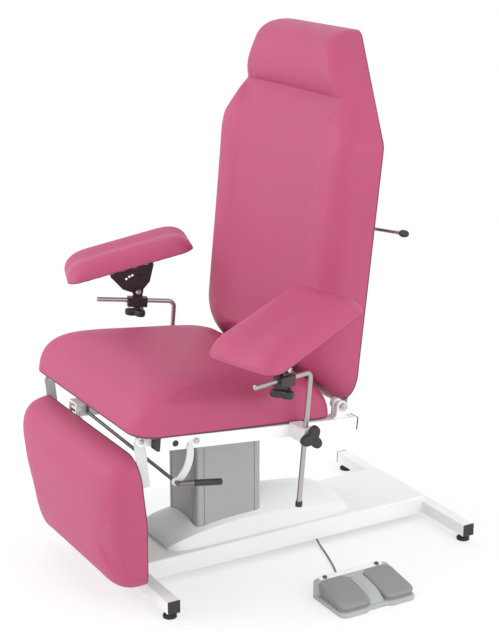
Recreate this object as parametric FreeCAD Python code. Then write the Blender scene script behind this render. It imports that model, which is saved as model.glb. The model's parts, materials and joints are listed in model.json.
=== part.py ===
"""Blood-sampling chair: telescopic lift column, reclining back, rising leg rest, two arm pads, foot switch.

Lengths are millimetres. The chair faces -Y, +X is the sitter's left and +Z is up, with the floor at z = 0.
Each piece is drawn in the frame of what carries it (base, seat, back, leg rest, arm or pad) and then
placed in the chair. The part's origin lies on the floor, under the middle of the whole chair.
"""
import FreeCAD, Part
import math
import os

V = FreeCAD.Vector

# Where the base's centre stands, seen from the part's origin
base_center_x = 5.2
base_center_y = 65.1

# Clearances shared by the whole chair
running_gap = 0.05
face_gap = 0.3
cut_over = 2.0
straight_share = 0.99

# Square steel tube of the base and the seat frame
tube_size = 30.0
tube_wall = 2.0
cap_plug_length = 18.0
cap_plug_gap = 0.2

# Base cross tubes, their caps and the levelling feet
cross_tube_length = 571.0
cross_tube_y = 412.5
cross_tube_bottom = 16.5
cross_cap_head = 3.0
foot_inset = 19.5
foot_x = cross_tube_length / 2 - foot_inset
foot_radius = 16.0
foot_disc = 7.0
foot_cone_top = 9.0
foot_cone_height = 5.0
foot_stud_radius = 4.0
foot_stud_top = 34.0
foot_round = 2.0
foot_stud_room = 4.0

# Folded tray between the cross tubes
tray_half_x = 113.0
tray_half_y = 403.0
tray_top = 62.0
tray_flange_bottom = 17.0
tray_sheet = 3.0
tray_bend = 6.0

# Moulded cover over the column's foot
cover_front = 318.0
cover_rear = 190.0
cover_half = 98.0
cover_crown = 80.0
cover_shoulder = 42.0
cover_lean = 14.0
cover_wall = 3.0
cover_column_gap = 0.5
# Along the cover from the front: place, crown height, shoulder height and width
cover_shares = (
    (0.0, 0.10, 0.14, 0.74),
    (0.035, 0.30, 0.42, 0.90),
    (0.10, 0.52, 0.66, 0.98),
    (0.18, 0.74, 0.82, 1.0),
    (0.36, 0.94, 1.0, 1.0),
    (0.55, 1.0, 0.97, 1.0),
    (0.72, 0.90, 0.86, 1.0),
    (0.84, 0.78, 0.75, 0.99),
    (0.93, 0.60, 0.58, 0.95),
    (0.975, 0.40, 0.40, 0.88),
    (1.0, 0.16, 0.16, 0.76),
)

# The seat frame's height over the floor and its slope to the rear
seat_height = 383.4
seat_pitch = 5.2

# Lift column: three nested profiles
column_y = -150.0
column_half_x = 74.0
column_half_y = 90.0
column_corner = 14.0
outer_wall = 5.0
inner_wall = 4.0
stage_gap = 2.5
head_drop = 25.4
inner_show = 7.0
middle_show = 5.0
middle_lift = 8.0
inner_lift = 12.0
outer_bottom = tray_top
middle_bottom = outer_bottom + middle_lift
inner_bottom = outer_bottom + inner_lift
inner_top = seat_height - head_drop
middle_top = inner_top - inner_show
outer_top = middle_top - middle_show
groove_width = 3.0
groove_depth = 1.5
groove_inset = 21.0
glide_width = 40.0
glide_height = 30.0
foot_flange = 6.0

# Lift drive inside the column
spindle_radius = 9.0
spindle_room = 8.0
spindle_top = inner_top - spindle_room
spindle_y = 30.0
push_tube_radius = 17.0
push_tube_lift = 18.0
push_tube_bottom = outer_bottom + push_tube_lift
push_bore_gap = 0.4
motor_radius = 28.0
motor_length = 130.0
motor_y = -30.0
gearbox_height = 20.0
gearbox_half_x = 30.0

# Head plate and webs between the column and the seat frame
head_plate = 8.0
head_half_x = 85.0
head_half_y = 95.0
head_web_x = 55.0
head_web = 8.0

# Seat rails and cross members, in the seat's own frame
rail_outer = 285.0
rail_front = 297.4
rail_rear = 224.2
rail_cap_head = 7.0
rail_cap_rear = 3.5
cross_front = -250.0
cross_middle = -90.5
cross_rear = 90.5
rail_plug_place = -254.0
rail_plug_radius = 7.0
rail_plug_head = 2.0
rail_screw_place = -200.0
rail_screw_radius = 4.5

# Seat cushion and its board
board_sheet = 12.0
board_inset = 14.0
seat_front = 350.0
seat_back = 168.0
seat_front_half = 290.0
seat_rear_half = 277.0
seat_front_corner = 50.0
seat_rear_corner = 50.0
seat_cushion_height = 105.0
# Up the seat cushion: height, then how far front, rear and sides are drawn in
seat_rise_shares = (0.0, 0.18, 0.42, 0.62, 0.80, 0.93, 1.0)
seat_front_in_shares = (0.04, 0.0, 0.01, 0.08, 0.28, 0.60, 1.0)
seat_rear_in_shares = (0.0, 0.0, 0.07, 0.29, 0.50, 0.70, 1.0)
seat_side_in_shares = (0.05, 0.0, 0.0, 0.03, 0.13, 0.38, 1.0)
seat_front_in = 110.0
seat_rear_in = 110.0
seat_side_in = 110.0
# How much of an inset a cushion's corner radius grows by
corner_grow_share = 0.25

# Back hinge, in the seat's frame
back_hinge_place = 179.0
back_hinge_rise = 59.0
ear_sheet = 5.0
ear_radius = 13.0
ear_base = 4.0
ear_base_half = 19.0
ear_inner = rail_outer - tube_size
ear_outer_gap = 14.0
pin_radius = 6.0
pin_head_radius = 9.0
pin_head = 4.0

# Backrest, in the back's frame with its origin on the hinge axis
back_recline = 5.9
back_plane = 30.8
back_bottom = -8.0
back_low_half = 196.0
back_low_bulge = 263.0
back_low_bulge_rise = 24.0
back_side_start = 88.0
back_side_half = 289.0
back_side_end = 590.0
back_top_half = 294.0
back_shoulder_in = 23.0
back_shoulder_rise = 648.0
back_crease = 698.0
back_crease_in = 57.0
back_thickness = 106.0
back_rise_shares = (0.0, 0.20, 0.45, 0.62, 0.78, 0.92, 1.0)
back_side_in_shares = (0.02, 0.0, 0.0, 0.05, 0.16, 0.45, 1.0)
back_low_in_shares = (0.0, 0.10, 0.35, 0.56, 0.70, 0.83, 1.0)
back_top_in_shares = (0.02, 0.0, 0.0, 0.02, 0.10, 0.34, 1.0)
back_side_in = 62.0
back_low_in = 95.0
back_bulge_in_share = 0.9
back_turn_in_share = 0.75
back_top_in = 62.0
panel_half = 175.0
panel_depth = 16.0
head_low_in_x = 58.0
head_mid_in_x = 91.0
head_top_in_x = 134.0
head_corner_in_x = 144.0
head_end_in_x = 163.0
head_gap = 1.0
head_start = back_crease + head_gap
back_shoulder_half = back_top_half - back_shoulder_in
back_crease_half = back_top_half - back_crease_in
head_low_half = back_top_half - head_low_in_x
head_mid_half = back_top_half - head_mid_in_x
head_top_half = back_top_half - head_top_in_x
head_corner_half = back_top_half - head_corner_in_x
head_end_half = back_top_half - head_end_in_x
head_mid_rise = 764.0
head_top_rise = 836.0
head_corner_rise = 843.0
head_end_rise = 846.0
head_thickness = 94.0
head_side_in = 46.0
head_low_in = 56.0
head_top_in = 30.0
back_arm_sheet = 7.6
back_arm_depth = 20.0
back_arm_top = 385.0
back_arm_drop = 13.0
back_arm_neck = -2.5
back_tube_size = 25.0
lever_place = 50.0
lever_drop = 58.0
spring_ear_sheet = 4.0
spring_ear_radius = 12.0

# Back release lever
release_rise = 409.0
release_pivot_in = 58.0
release_pivot_x = back_top_half - release_pivot_in
release_place = 52.0
release_rod_radius = 4.0
release_tip_out = 62.0
release_tip_x = back_top_half + release_tip_out
release_tip_rise = 13.0
release_knob_length = 28.0
release_knob_radius = 9.5
release_hub_radius = 8.0
release_hub_half = 5.0
release_ear_sheet = 3.0
release_ear_half = 12.0
release_pin_radius = 3.0

# Leg-rest hinge, in the seat's frame
leg_hinge_place = -321.0
leg_hinge_rise = 15.0
lug_sheet = 5.0
lug_radius = 12.0
lug_tail = -268.0
bolt_radius = 5.0
bolt_head_radius = 8.5
bolt_head = 6.0

# Leg rest, in its own frame with the origin on its hinge axis
leg_lean = 6.05
leg_plane = -15.1
leg_top = -34.2
leg_bottom = -366.0
leg_half = 270.5
leg_low_half = 240.0
leg_top_corner = 55.0
leg_low_corner = 44.0
leg_bulge_rise = -190.0
leg_thickness = 86.0
leg_rise_shares = (0.0, 0.25, 0.50, 0.72, 0.88, 0.97, 1.0)
leg_in_shares = (0.05, 0.0, 0.0, 0.08, 0.25, 0.55, 1.0)
leg_edge_in = 70.0
leg_bar_sheet = 5.0
leg_bar_depth = 25.0
leg_bar_end = -112.0
leg_strap = 4.0
leg_strap_half = 20.0
leg_foot_place = 38.0
leg_foot_drop = -247.0

# Gas springs
spring_x = -96.0
leg_anchor_place = -315.0
leg_anchor_rise = -19.0
back_spring_x = -118.0
back_anchor_place = -100.0
back_anchor_rise = -35.0
spring_ear_half = 17.0
eye_radius = 10.0
spring_rod_radius = 5.0
leg_cylinder_radius = 11.0
leg_cylinder_length = 128.0
back_cylinder_radius = 11.0
back_cylinder_length = 185.0
back_spring_stroke = 82.0
cylinder_wall = 3.0
anchor_bolt_radius = 5.0
anchor_head_radius = 8.0
anchor_head = 4.0

# Leg-rest release: hanger bar, torsion rod, clevis and grip, seen level from the seat frame's origin
hanger_x = rail_outer
hanger_sheet = 4.0
hanger_width = 15.5
hanger_top = (-218.0, 26.6)
hanger_bend = (-227.0, -21.4)
hanger_eye = (-254.0, -50.4)
hanger_eye_radius = 9.0
torsion_radius = 4.0
torsion_start_x = -69.0
torsion_start = (-302.0, 8.6)
torsion_overhang = 16.0
finger_length = 18.0
clevis_half = 6.0
clevis_length = 38.0
grip_start = 34.0
grip_length = 72.0
grip_radius = 7.5
grip_drop = 17.0

# Arm posts, in the seat's frame
post_offset = 44.0
post_x = rail_outer + post_offset
post_place = 51.0
post_radius = 6.0
post_bottom = -148.5
post_top = 165.5
post_corner = 15.5
post_reach = 200.0
post_swivels = {"left": 20.9, "right": 17.4}
post_cap_radius = 8.0
post_cap_floor = 3.5
post_cap_depth = 12.0
clamp_half = 16.0
clamp_bottom = 4.0
clamp_top = 36.0
clamp_width = 60.0
clamp_outer = rail_outer + clamp_width
clamp_round = 4.0
knob_rise = 20.0
knob_stud = 4.0
knob_neck = 7.0
knob_height = 17.0
knob_lobe_radius = 10.5
knob_lobe_place = 17.0
knob_core_radius = 15.0
knob_round = 3.0

# Arm pads, their clamps and brackets, in the arm's and the pad's frames
pad_reach = 96.0
pad_pivot_rise = 24.0
pad_pitch = 18.75
pad_clamp_half = 25.0
pad_clamp_side = 12.0
pad_clamp_over = 9.0
pad_clamp_under = 16.0
bracket_sheet = 4.0
bracket_top_half = 57.0
bracket_low_half = 36.0
bracket_low_rise = 15.5
bracket_wide_rise = 55.0
bracket_neck = 14.0
pad_seat_rise = 86.3
flange_sheet = 3.0
flange_half = 20.0
fork_sheet = 4.0
fork_radius = 12.0
pivot_radius = 5.0
pivot_head_radius = 8.5
pivot_head = 5.0
index_radius = 44.0
index_hole_radius = 3.2
index_angles = (27.0, 14.4, 3.6)
detent_radius = 39.0
detent_angle = -27.7
detent_head_radius = 6.0
detent_head = 5.0
pad_shift_left = 10.1
pad_shift_right = -1.7
pad_offset_left = 9.7
pad_offset_right = -3.1
pad_turns = {"left": -1.5, "right": 2.8}
pad_half_length = 163.0
pad_half_width = 100.0
pad_corner = 36.0
pad_corner_rest = 3.0
pad_height = 41.0
pad_board_inset = 16.0
pad_rise_shares = (0.0, 0.22, 0.50, 0.74, 0.92, 1.0)
pad_in_shares = (0.03, 0.0, 0.10, 0.34, 0.66, 1.0)
pad_edge_in = 33.0
gutter_radius = 95.0
gutter_depth = 10.0

# Foot switch on the floor and its cord
switch_x = 343.0
switch_length = 134.0
switch_y = 16.7
switch_half = 102.5
switch_high = 44.0
switch_low = 13.0
switch_strip = 17.0
switch_lip = 12.0
switch_rim = 7.0
switch_corner = 5.0
switch_floor = 5.0
switch_strip_sheet = 2.0
switch_screw_radius = 4.0
switch_screw_share = 0.52
pedal_sheet = 5.0
pedal_gap = 1.2
pedal_divider = 6.0
pedal_well = 14.0
pedal_pin_radius = 2.5
pedal_pin_drop = 6.0
pedal_boss_radius = 5.0
box_half_x = 60.0
box_front = 30.0
box_rear = 150.0
box_bottom = 18.0
gland_radius = 7.0
gland_length = 14.0
gland_z = 26.0
gland_y = 80.0
cord_radius = 2.5
cord_bend_share = 0.45
cord_points = (
    (74.0, 80.0, 26.0),
    (84.0, 80.0, 26.0),
    (95.0, 79.7, 22.0),
    (107.0, 79.0, 14.6),
    (121.0, 77.0, 7.6),
    (138.0, 74.0, 3.6),
    (160.0, 69.0, 2.7),
    (192.0, 59.0, 2.6),
    (232.0, 46.0, 2.7),
    (266.0, 32.0, 3.0),
    (288.0, 21.5, 5.2),
    (304.0, 13.0, 10.6),
    (317.0, 6.6, 17.8),
    (330.0, 3.0, 24.0),
    (343.0, 3.0, 24.0),
)

# Frames of the moving groups, seen from the base's centre on the floor
seat_place = FreeCAD.Placement(V(0, column_y, seat_height), FreeCAD.Rotation(V(1, 0, 0), -seat_pitch))
back_axis = seat_place.multVec(V(0, back_hinge_place, back_hinge_rise))
back_frame_place = FreeCAD.Placement(back_axis, FreeCAD.Rotation(V(1, 0, 0), -back_recline))
leg_axis = seat_place.multVec(V(0, leg_hinge_place, leg_hinge_rise))
leg_frame_place = FreeCAD.Placement(leg_axis, FreeCAD.Rotation(V(1, 0, 0), leg_lean))
chair_place = FreeCAD.Placement(V(base_center_x, base_center_y, 0), FreeCAD.Rotation())


def seat_level(point):
    """A point in Y and Z over the floor, from its place seen level from the seat frame's origin."""
    return column_y + point[0], seat_height + point[1]


def arm_place(side):
    """Frame of an arm: origin at the post's top corner, -Y along the level rod, Z along the post."""
    sign = 1 if side == "left" else -1
    swivel = FreeCAD.Rotation(V(0, 0, 1), sign * post_swivels[side])
    return seat_place.multiply(FreeCAD.Placement(V(sign * post_x, post_place, post_top), swivel))


def pad_place(side):
    """Frame of an arm pad: origin on its tilt axis, Z square to the pad."""
    tilt = FreeCAD.Rotation(V(1, 0, 0), pad_pitch)
    return arm_place(side).multiply(FreeCAD.Placement(V(0, -pad_reach, pad_pivot_rise), tilt))


def cushion_place(side):
    """Frame of an arm cushion and its board, which are screwed on the bracket at a small turn."""
    sign = 1 if side == "left" else -1
    shift = pad_shift_left if side == "left" else pad_shift_right
    offset = pad_offset_left if side == "left" else pad_offset_right
    turn = FreeCAD.Rotation(V(0, 0, 1), sign * pad_turns[side])
    return pad_place(side).multiply(FreeCAD.Placement(V(offset, shift, 0), turn))


def box(x0, x1, y0, y1, z0, z1):
    """A box between two corners."""
    return Part.makeBox(x1 - x0, y1 - y0, z1 - z0, V(x0, y0, z0))


def rod(start, end, radius):
    """A round bar between two points."""
    way = end - start
    return Part.makeCylinder(radius, way.Length, start, way)


def rod_x(x0, x1, y, z, radius):
    """A round bar along X."""
    return rod(V(x0, y, z), V(x1, y, z), radius)


def side_plate(x0, x1, points):
    """A plate with an outline drawn in Y and Z, between two places in X."""
    corners = [V(x0, y, z) for y, z in points]
    face = Part.Face(Part.makePolygon(corners + [corners[0]]))
    return face.extrude(V(x1 - x0, 0, 0))


def fused(shapes):
    """One clean solid from overlapping or touching ones."""
    shapes = list(shapes)
    whole = shapes[0].multiFuse(shapes[1:]) if len(shapes) > 1 else shapes[0]
    return whole.removeSplitter()


def both(shape):
    """A shape and its mirror image across the chair's middle plane."""
    return [shape, shape.mirror(V(0, 0, 0), V(1, 0, 0))]


def edges_along(shape, axis):
    """The straight edges of a shape that run along an axis."""
    return [e for e in shape.Edges if abs(e.tangentAt(e.FirstParameter).dot(axis)) > straight_share]


def rounded_box(half_x, half_y, corner, z0, z1, y_center=0.0):
    """An upright block with four rounded corners."""
    block = box(-half_x, half_x, y_center - half_y, y_center + half_y, z0, z1)
    return block.makeFillet(corner, edges_along(block, V(0, 0, 1)))


def square_tube(length_axis, start, end, across):
    """A square tube along X or Y. across gives the middle of its section."""
    half = tube_size / 2
    hollow = half - tube_wall
    side, rise = across
    if length_axis == "x":
        outer = box(start, end, side - half, side + half, rise - half, rise + half)
        inner = box(start - cut_over, end + cut_over, side - hollow, side + hollow,
                    rise - hollow, rise + hollow)
    else:
        outer = box(side - half, side + half, start, end, rise - half, rise + half)
        inner = box(side - hollow, side + hollow, start - cut_over, end + cut_over,
                    rise - hollow, rise + hollow)
    return outer.cut(inner)


def ring(steps, point):
    """A closed wire. steps holds (end,) for a line and (middle, end) for an arc, in flat coordinates."""
    edges = []
    here = steps[0][-1]
    for step in steps[1:] + steps[:1]:
        end = step[-1]
        if len(step) == 1:
            edges.append(Part.LineSegment(point(*here), point(*end)).toShape())
        else:
            edges.append(Part.Arc(point(*here), point(*step[0]), point(*end)).toShape())
        here = end
    return Part.Wire(edges)


def mirrored(half):
    """The whole outline from its right half, which runs from the low edge to the high edge."""
    left = []
    for here, step in zip(reversed(half[:-1]), reversed(half[1:])):
        flat = [(-here[-1][0], here[-1][1])]
        if len(step) == 2:
            flat.insert(0, (-step[0][0], step[0][1]))
        left.append(tuple(flat))
    top = ((-half[-1][-1][0], half[-1][-1][1]),)
    return list(half) + [top] + left


def stacked(rings):
    """A solid that runs smoothly through a stack of like outlines."""
    solid = Part.makeLoft(rings, True, False)
    if solid.Volume < 0:
        solid.reverse()
    return solid


def arc_middle(start, end, way):
    """The middle point of a quarter turn from start to end, which sets off along X or along Y."""
    bulge = 1 - math.sqrt(0.5)
    span_x = end[0] - start[0]
    span_y = end[1] - start[1]
    if way == "x first":
        return (end[0] - span_x * bulge, start[1] + span_y * bulge)
    return (start[0] + span_x * bulge, end[1] - span_y * bulge)


def base_cross_tubes():
    """Two square tubes across the chair, with the holes for the levelling feet."""
    half = cross_tube_length / 2
    middle = cross_tube_bottom + tube_size / 2
    tubes = []
    for y in (-cross_tube_y, cross_tube_y):
        tube = square_tube("x", -half, half, (y, middle))
        for x in (-foot_x, foot_x):
            hole = rod(V(x, y, cross_tube_bottom - cut_over), V(x, y, middle),
                       foot_stud_radius + running_gap)
            tube = tube.cut(hole)
        tubes.append(tube)
    return tubes


def tube_caps():
    """The four caps of the base tubes, with plugs that stop short of the levelling studs."""
    end = cross_tube_length / 2
    half = tube_size / 2
    z = cross_tube_bottom + half
    plug = half - tube_wall - cap_plug_gap
    stem_start = foot_x + foot_stud_radius + foot_stud_room
    caps = []
    for y in (-cross_tube_y, cross_tube_y):
        head = box(end, end + cross_cap_head, y - half, y + half, z - half, z + half)
        stem = box(stem_start, end, y - plug, y + plug, z - plug, z + plug)
        caps.extend(both(fused([head, stem])))
    return caps


def leveling_feet():
    """Four feet: a disc with a cone, a threaded stud and a nut under the tube."""
    feet = []
    for y in (-cross_tube_y, cross_tube_y):
        for x in (-foot_x, foot_x):
            disc = Part.makeCylinder(foot_radius, foot_disc, V(x, y, 0))
            disc = disc.makeFillet(foot_round, [disc.Edges[0]])
            cone = Part.makeCone(foot_cone_top, foot_stud_radius, foot_cone_height, V(x, y, foot_disc))
            stud = rod(V(x, y, foot_disc), V(x, y, foot_stud_top), foot_stud_radius)
            feet.append(fused([disc, cone, stud]))
    return feet


def base_tray():
    """A folded steel tray: the top, two long side flanges and two short end flanges on the cross tubes."""
    tube_top = cross_tube_bottom + tube_size
    inner_end = cross_tube_y - tube_size / 2
    top = box(-tray_half_x, tray_half_x, -tray_half_y, tray_half_y, tube_top, tray_top)
    rounded = [e for e in top.Edges if e.BoundBox.ZMin > tray_top - tray_sheet]
    top = top.makeFillet(tray_bend, rounded)
    hollow_x = tray_half_x - tray_sheet
    hollow_y = tray_half_y - tray_sheet
    hollow = box(-hollow_x, hollow_x, -hollow_y, hollow_y, tube_top - cut_over, tray_top - tray_sheet)
    shell = top.cut(hollow)
    flanges = []
    for sign in (-1, 1):
        x0 = min(sign * tray_half_x, sign * hollow_x)
        flanges.append(box(x0, x0 + tray_sheet, -inner_end, inner_end, tray_flange_bottom, tube_top))
    return fused([shell] + flanges)


def cover_ring(share, crown, shoulder, width, wall):
    """One arched section of the cover. wall draws it in for the inside."""
    y = -cover_front + share * (cover_front + cover_rear)
    half = cover_half * width - wall
    low = tray_top - (cut_over if wall else 0)
    side = tray_top + cover_shoulder * shoulder - wall
    top = tray_top + cover_crown * crown - wall
    lean = cover_lean * shoulder
    steps = [((half, low),), ((half - lean, side),), ((0, top), (lean - half, side)), ((-half, low),)]
    return ring(steps, lambda x, z: V(x, y, z))


def base_fairing():
    """The moulded cover: a thin arched shell with an opening for the column."""
    outer = stacked([cover_ring(*shares, 0) for shares in cover_shares])
    inner_shares = cover_shares[1:-1]
    inner = stacked([cover_ring(*shares, cover_wall) for shares in inner_shares])
    gap = cover_column_gap
    opening = rounded_box(column_half_x + gap, column_half_y + gap, column_corner + gap,
                          tray_top - cut_over, outer_top, column_y)
    return outer.cut(inner).cut(opening)


def profile(half_x, half_y, corner, wall, z0, z1):
    """One hollow stage of the column."""
    outer = rounded_box(half_x, half_y, corner, z0, z1, column_y)
    inner = rounded_box(half_x - wall, half_y - wall, corner - wall, z0 - cut_over, z1 + cut_over, column_y)
    return outer.cut(inner)


def middle_half(axis):
    """Half the outer width of the middle stage along an axis."""
    whole = column_half_x if axis == "x" else column_half_y
    return whole - outer_wall - stage_gap


def inner_half(axis):
    """Half the outer width of the inner stage along an axis."""
    return middle_half(axis) - inner_wall - stage_gap


def column_outer():
    """The outer profile with its grooves and its foot plate, bolted to the tray."""
    body = profile(column_half_x, column_half_y, column_corner, outer_wall, outer_bottom, outer_top)
    half_groove = groove_width / 2
    for sign in (-1, 1):
        for side in (-1, 1):
            y = column_y + side * (column_half_y - groove_inset)
            x = sign * column_half_x
            cut = box(x - groove_depth, x + groove_depth, y - half_groove, y + half_groove,
                      outer_bottom, outer_top)
            body = body.cut(cut)
            x = side * (column_half_x - groove_inset)
            y = column_y + sign * column_half_y
            cut = box(x - half_groove, x + half_groove, y - groove_depth, y + groove_depth,
                      outer_bottom, outer_top)
            body = body.cut(cut)
    foot = rounded_box(column_half_x - outer_wall, column_half_y - outer_wall, column_corner - outer_wall,
                       outer_bottom, outer_bottom + foot_flange, column_y)
    return fused([body, foot])


def column_middle():
    """The middle profile, which rises half the stroke."""
    return profile(middle_half("x"), middle_half("y"), column_corner, inner_wall, middle_bottom, middle_top)


def column_inner():
    """The inner profile, which carries the seat."""
    return profile(inner_half("x"), inner_half("y"), column_corner - inner_wall, inner_wall,
                   inner_bottom, inner_top)


def column_glides():
    """Plastic glide strips on the middle stage: outside at its foot and inside at its top."""
    thick = stage_gap - face_gap
    half = glide_width / 2
    pads = []
    low = (middle_bottom + face_gap, middle_bottom + glide_height)
    high = (middle_top - glide_height, middle_top - face_gap)
    for sign in (-1, 1):
        for z0, z1, offset in (low + (thick,), high + (-inner_wall,)):
            face = middle_half("x") + (0 if offset > 0 else -inner_wall - thick)
            x0 = min(sign * face, sign * (face + thick))
            pads.append(box(x0, x0 + thick, column_y - half, column_y + half, z0, z1))
            face = middle_half("y") + (0 if offset > 0 else -inner_wall - thick)
            y0 = column_y + min(sign * face, sign * (face + thick))
            pads.append(box(-half, half, y0, y0 + thick, z0, z1))
    return pads


def lift_spindle():
    """The fixed lifting spindle, standing on the column's foot."""
    y = column_y + spindle_y
    return rod(V(0, y, outer_bottom + foot_flange), V(0, y, spindle_top), spindle_radius)


def lift_drive():
    """Motor, gearbox and push tube, hung inside the inner stage."""
    spindle = column_y + spindle_y
    motor = column_y + motor_y
    bore = spindle_radius + push_bore_gap
    gearbox = box(-gearbox_half_x, gearbox_half_x, motor - motor_radius, spindle + push_tube_radius,
                  inner_top - gearbox_height, inner_top)
    body = rod(V(0, motor, inner_top - motor_length), V(0, motor, inner_top), motor_radius)
    tube = rod(V(0, spindle, push_tube_bottom), V(0, spindle, inner_top), push_tube_radius)
    hole = rod(V(0, spindle, push_tube_bottom - cut_over), V(0, spindle, spindle_top + face_gap), bore)
    return fused([gearbox, body, tube]).cut(hole)


def column_head():
    """The plate on the inner stage and the two webs that carry the tilted seat frame."""
    low = inner_top
    top = low + head_plate
    plate = rounded_box(head_half_x, head_half_y, column_corner, low, top, column_y)
    front = column_y - head_half_y
    rear = column_y + head_half_y
    slope = math.tan(math.radians(seat_pitch))
    rise_front = seat_height + head_half_y * slope
    rise_rear = seat_height - head_half_y * slope
    webs = []
    for sign in (-1, 1):
        x = sign * head_web_x
        points = ((front, top), (rear, top), (rear, rise_rear), (front, rise_front))
        webs.append(side_plate(x - head_web / 2, x + head_web / 2, points))
    return fused([plate] + webs)


def seat_rail():
    """The left rail: tube, leg-rest lug and the ears of the back hinge, welded together."""
    half = tube_size / 2
    middle = rail_outer - half
    tube = square_tube("y", rail_cap_head - rail_front, rail_rear - rail_cap_rear, (middle, half))
    inner = rail_outer - tube_size
    lug = fused([
        box(inner - lug_sheet, inner, leg_hinge_place, lug_tail, leg_hinge_rise - lug_radius,
            leg_hinge_rise + lug_radius),
        rod_x(inner - lug_sheet, inner, leg_hinge_place, leg_hinge_rise, lug_radius),
    ])
    lug = lug.cut(rod_x(inner - lug_sheet - cut_over, inner + cut_over, leg_hinge_place, leg_hinge_rise,
                        bolt_radius))
    ears = []
    for x in (ear_inner, ear_inner + ear_sheet + ear_outer_gap):
        ear = fused([
            box(x, x + ear_sheet, back_hinge_place - ear_radius, back_hinge_place + ear_radius, tube_size,
                back_hinge_rise),
            rod_x(x, x + ear_sheet, back_hinge_place, back_hinge_rise, ear_radius),
        ])
        ears.append(ear)
    base = box(ear_inner, ear_inner + ear_sheet * 2 + ear_outer_gap, back_hinge_place - ear_base_half,
               back_hinge_place + ear_base_half, tube_size, tube_size + ear_base)
    bore = rod_x(ear_inner - cut_over, rail_outer + cut_over, back_hinge_place, back_hinge_rise, pin_radius)
    return fused([tube, lug, base] + ears).cut(bore)


def seat_cross_members():
    """Three cross tubes between the rails, with the spring anchors welded under the first two."""
    half = tube_size / 2
    inner = rail_outer - tube_size
    places = (cross_front, cross_middle, cross_rear)
    tubes = [square_tube("x", -inner, inner, (place, half)) for place in places]
    leg_anchor = spring_bracket(spring_x, leg_anchor_place, leg_anchor_rise, cross_front + half)
    back_anchor = spring_bracket(back_spring_x, back_anchor_place, back_anchor_rise, cross_middle + half)
    return [fused([tubes[0], leg_anchor]), fused([tubes[1], back_anchor]), tubes[2]]


def spring_bracket(x, place, rise, rear):
    """An upside-down U under a cross tube: a web and two ears with the spring's bolt between them."""
    outer = spring_ear_half + spring_ear_sheet
    front = place - spring_ear_radius
    web = box(x - outer, x + outer, front, rear, -spring_ear_sheet, 0)
    parts = [web]
    for sign in (-1, 1):
        x0 = x + (spring_ear_half if sign > 0 else -outer)
        ear = box(x0, x0 + spring_ear_sheet, front, rear, rise, 0)
        low = rod_x(x0, x0 + spring_ear_sheet, place, rise, spring_ear_radius)
        shelf = box(x0, x0 + spring_ear_sheet, place, rear, rise - spring_ear_radius, rise)
        parts.extend([ear, low, shelf])
    parts.append(rod_x(x - outer - anchor_head, x + outer + anchor_head, place, rise, anchor_bolt_radius))
    for x0 in (x - outer - anchor_head, x + outer):
        parts.append(rod_x(x0, x0 + anchor_head, place, rise, anchor_head_radius))
    return fused(parts)


def rail_caps():
    """Black caps in the rails' ends, and the plug and screw heads in their outer faces."""
    half = tube_size / 2
    middle = rail_outer - half
    plug = half - tube_wall - cap_plug_gap
    front = -rail_front
    rear = rail_rear
    pieces = []
    for head0, head1, stem0, stem1 in (
        (front, front + rail_cap_head, front + rail_cap_head, front + rail_cap_head + cap_plug_length),
        (rear - rail_cap_rear, rear, rear - rail_cap_rear - cap_plug_length, rear - rail_cap_rear),
    ):
        head = box(middle - half, middle + half, head0, head1, 0, tube_size)
        stem = box(middle - plug, middle + plug, stem0, stem1, half - plug, half + plug)
        pieces.append(fused([head, stem]))
    for place, radius in ((rail_plug_place, rail_plug_radius), (rail_screw_place, rail_screw_radius)):
        head = rod_x(rail_outer, rail_outer + rail_plug_head, place, half, radius)
        rim = [e for e in head.Edges if e.BoundBox.XMin > rail_outer + rail_plug_head / 2]
        pieces.append(head.makeFillet(rail_plug_head / 2, rim))
    return [shape for piece in pieces for shape in both(piece)]


def seat_half(front_in, rear_in, side_in):
    """Right half of the seat cushion's outline, drawn in from the front, the rear and the sides."""
    front = front_in - seat_front
    rear = seat_back - rear_in
    wide = seat_front_half - side_in
    narrow = seat_rear_half - side_in
    corner = seat_front_corner + min(front_in, side_in) * corner_grow_share
    tail = seat_rear_corner + min(rear_in, side_in) * corner_grow_share
    start = (wide - corner, front)
    turn = (wide, front + corner)
    out = (narrow, rear - tail)
    end = (narrow - tail, rear)
    return [(start,), (arc_middle(start, turn, "x first"), turn), (out,),
            (arc_middle(out, end, "y first"), end)]


def seat_rings(low, high, shares):
    """Outlines of the seat cushion between two heights."""
    rings = []
    for rise, front_in, rear_in, side_in in shares:
        height = low + rise * (high - low)
        half = seat_half(front_in * seat_front_in, rear_in * seat_rear_in, side_in * seat_side_in)
        rings.append(ring(mirrored(half), lambda x, y, z=height: V(x, y, z)))
    return rings


def seat_board():
    """The plywood under the seat cushion."""
    half = seat_half(board_inset, board_inset, board_inset)
    outline = ring(mirrored(half), lambda x, y: V(x, y, tube_size))
    return Part.Face(outline).extrude(V(0, 0, board_sheet))


def seat_cushion():
    """The seat cushion with its crown, its round front and its sloped rear edge."""
    shares = list(zip(seat_rise_shares, seat_front_in_shares, seat_rear_in_shares, seat_side_in_shares))
    body = stacked(seat_rings(tube_size, tube_size + seat_cushion_height, shares))
    return body.cut(seat_board())


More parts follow.
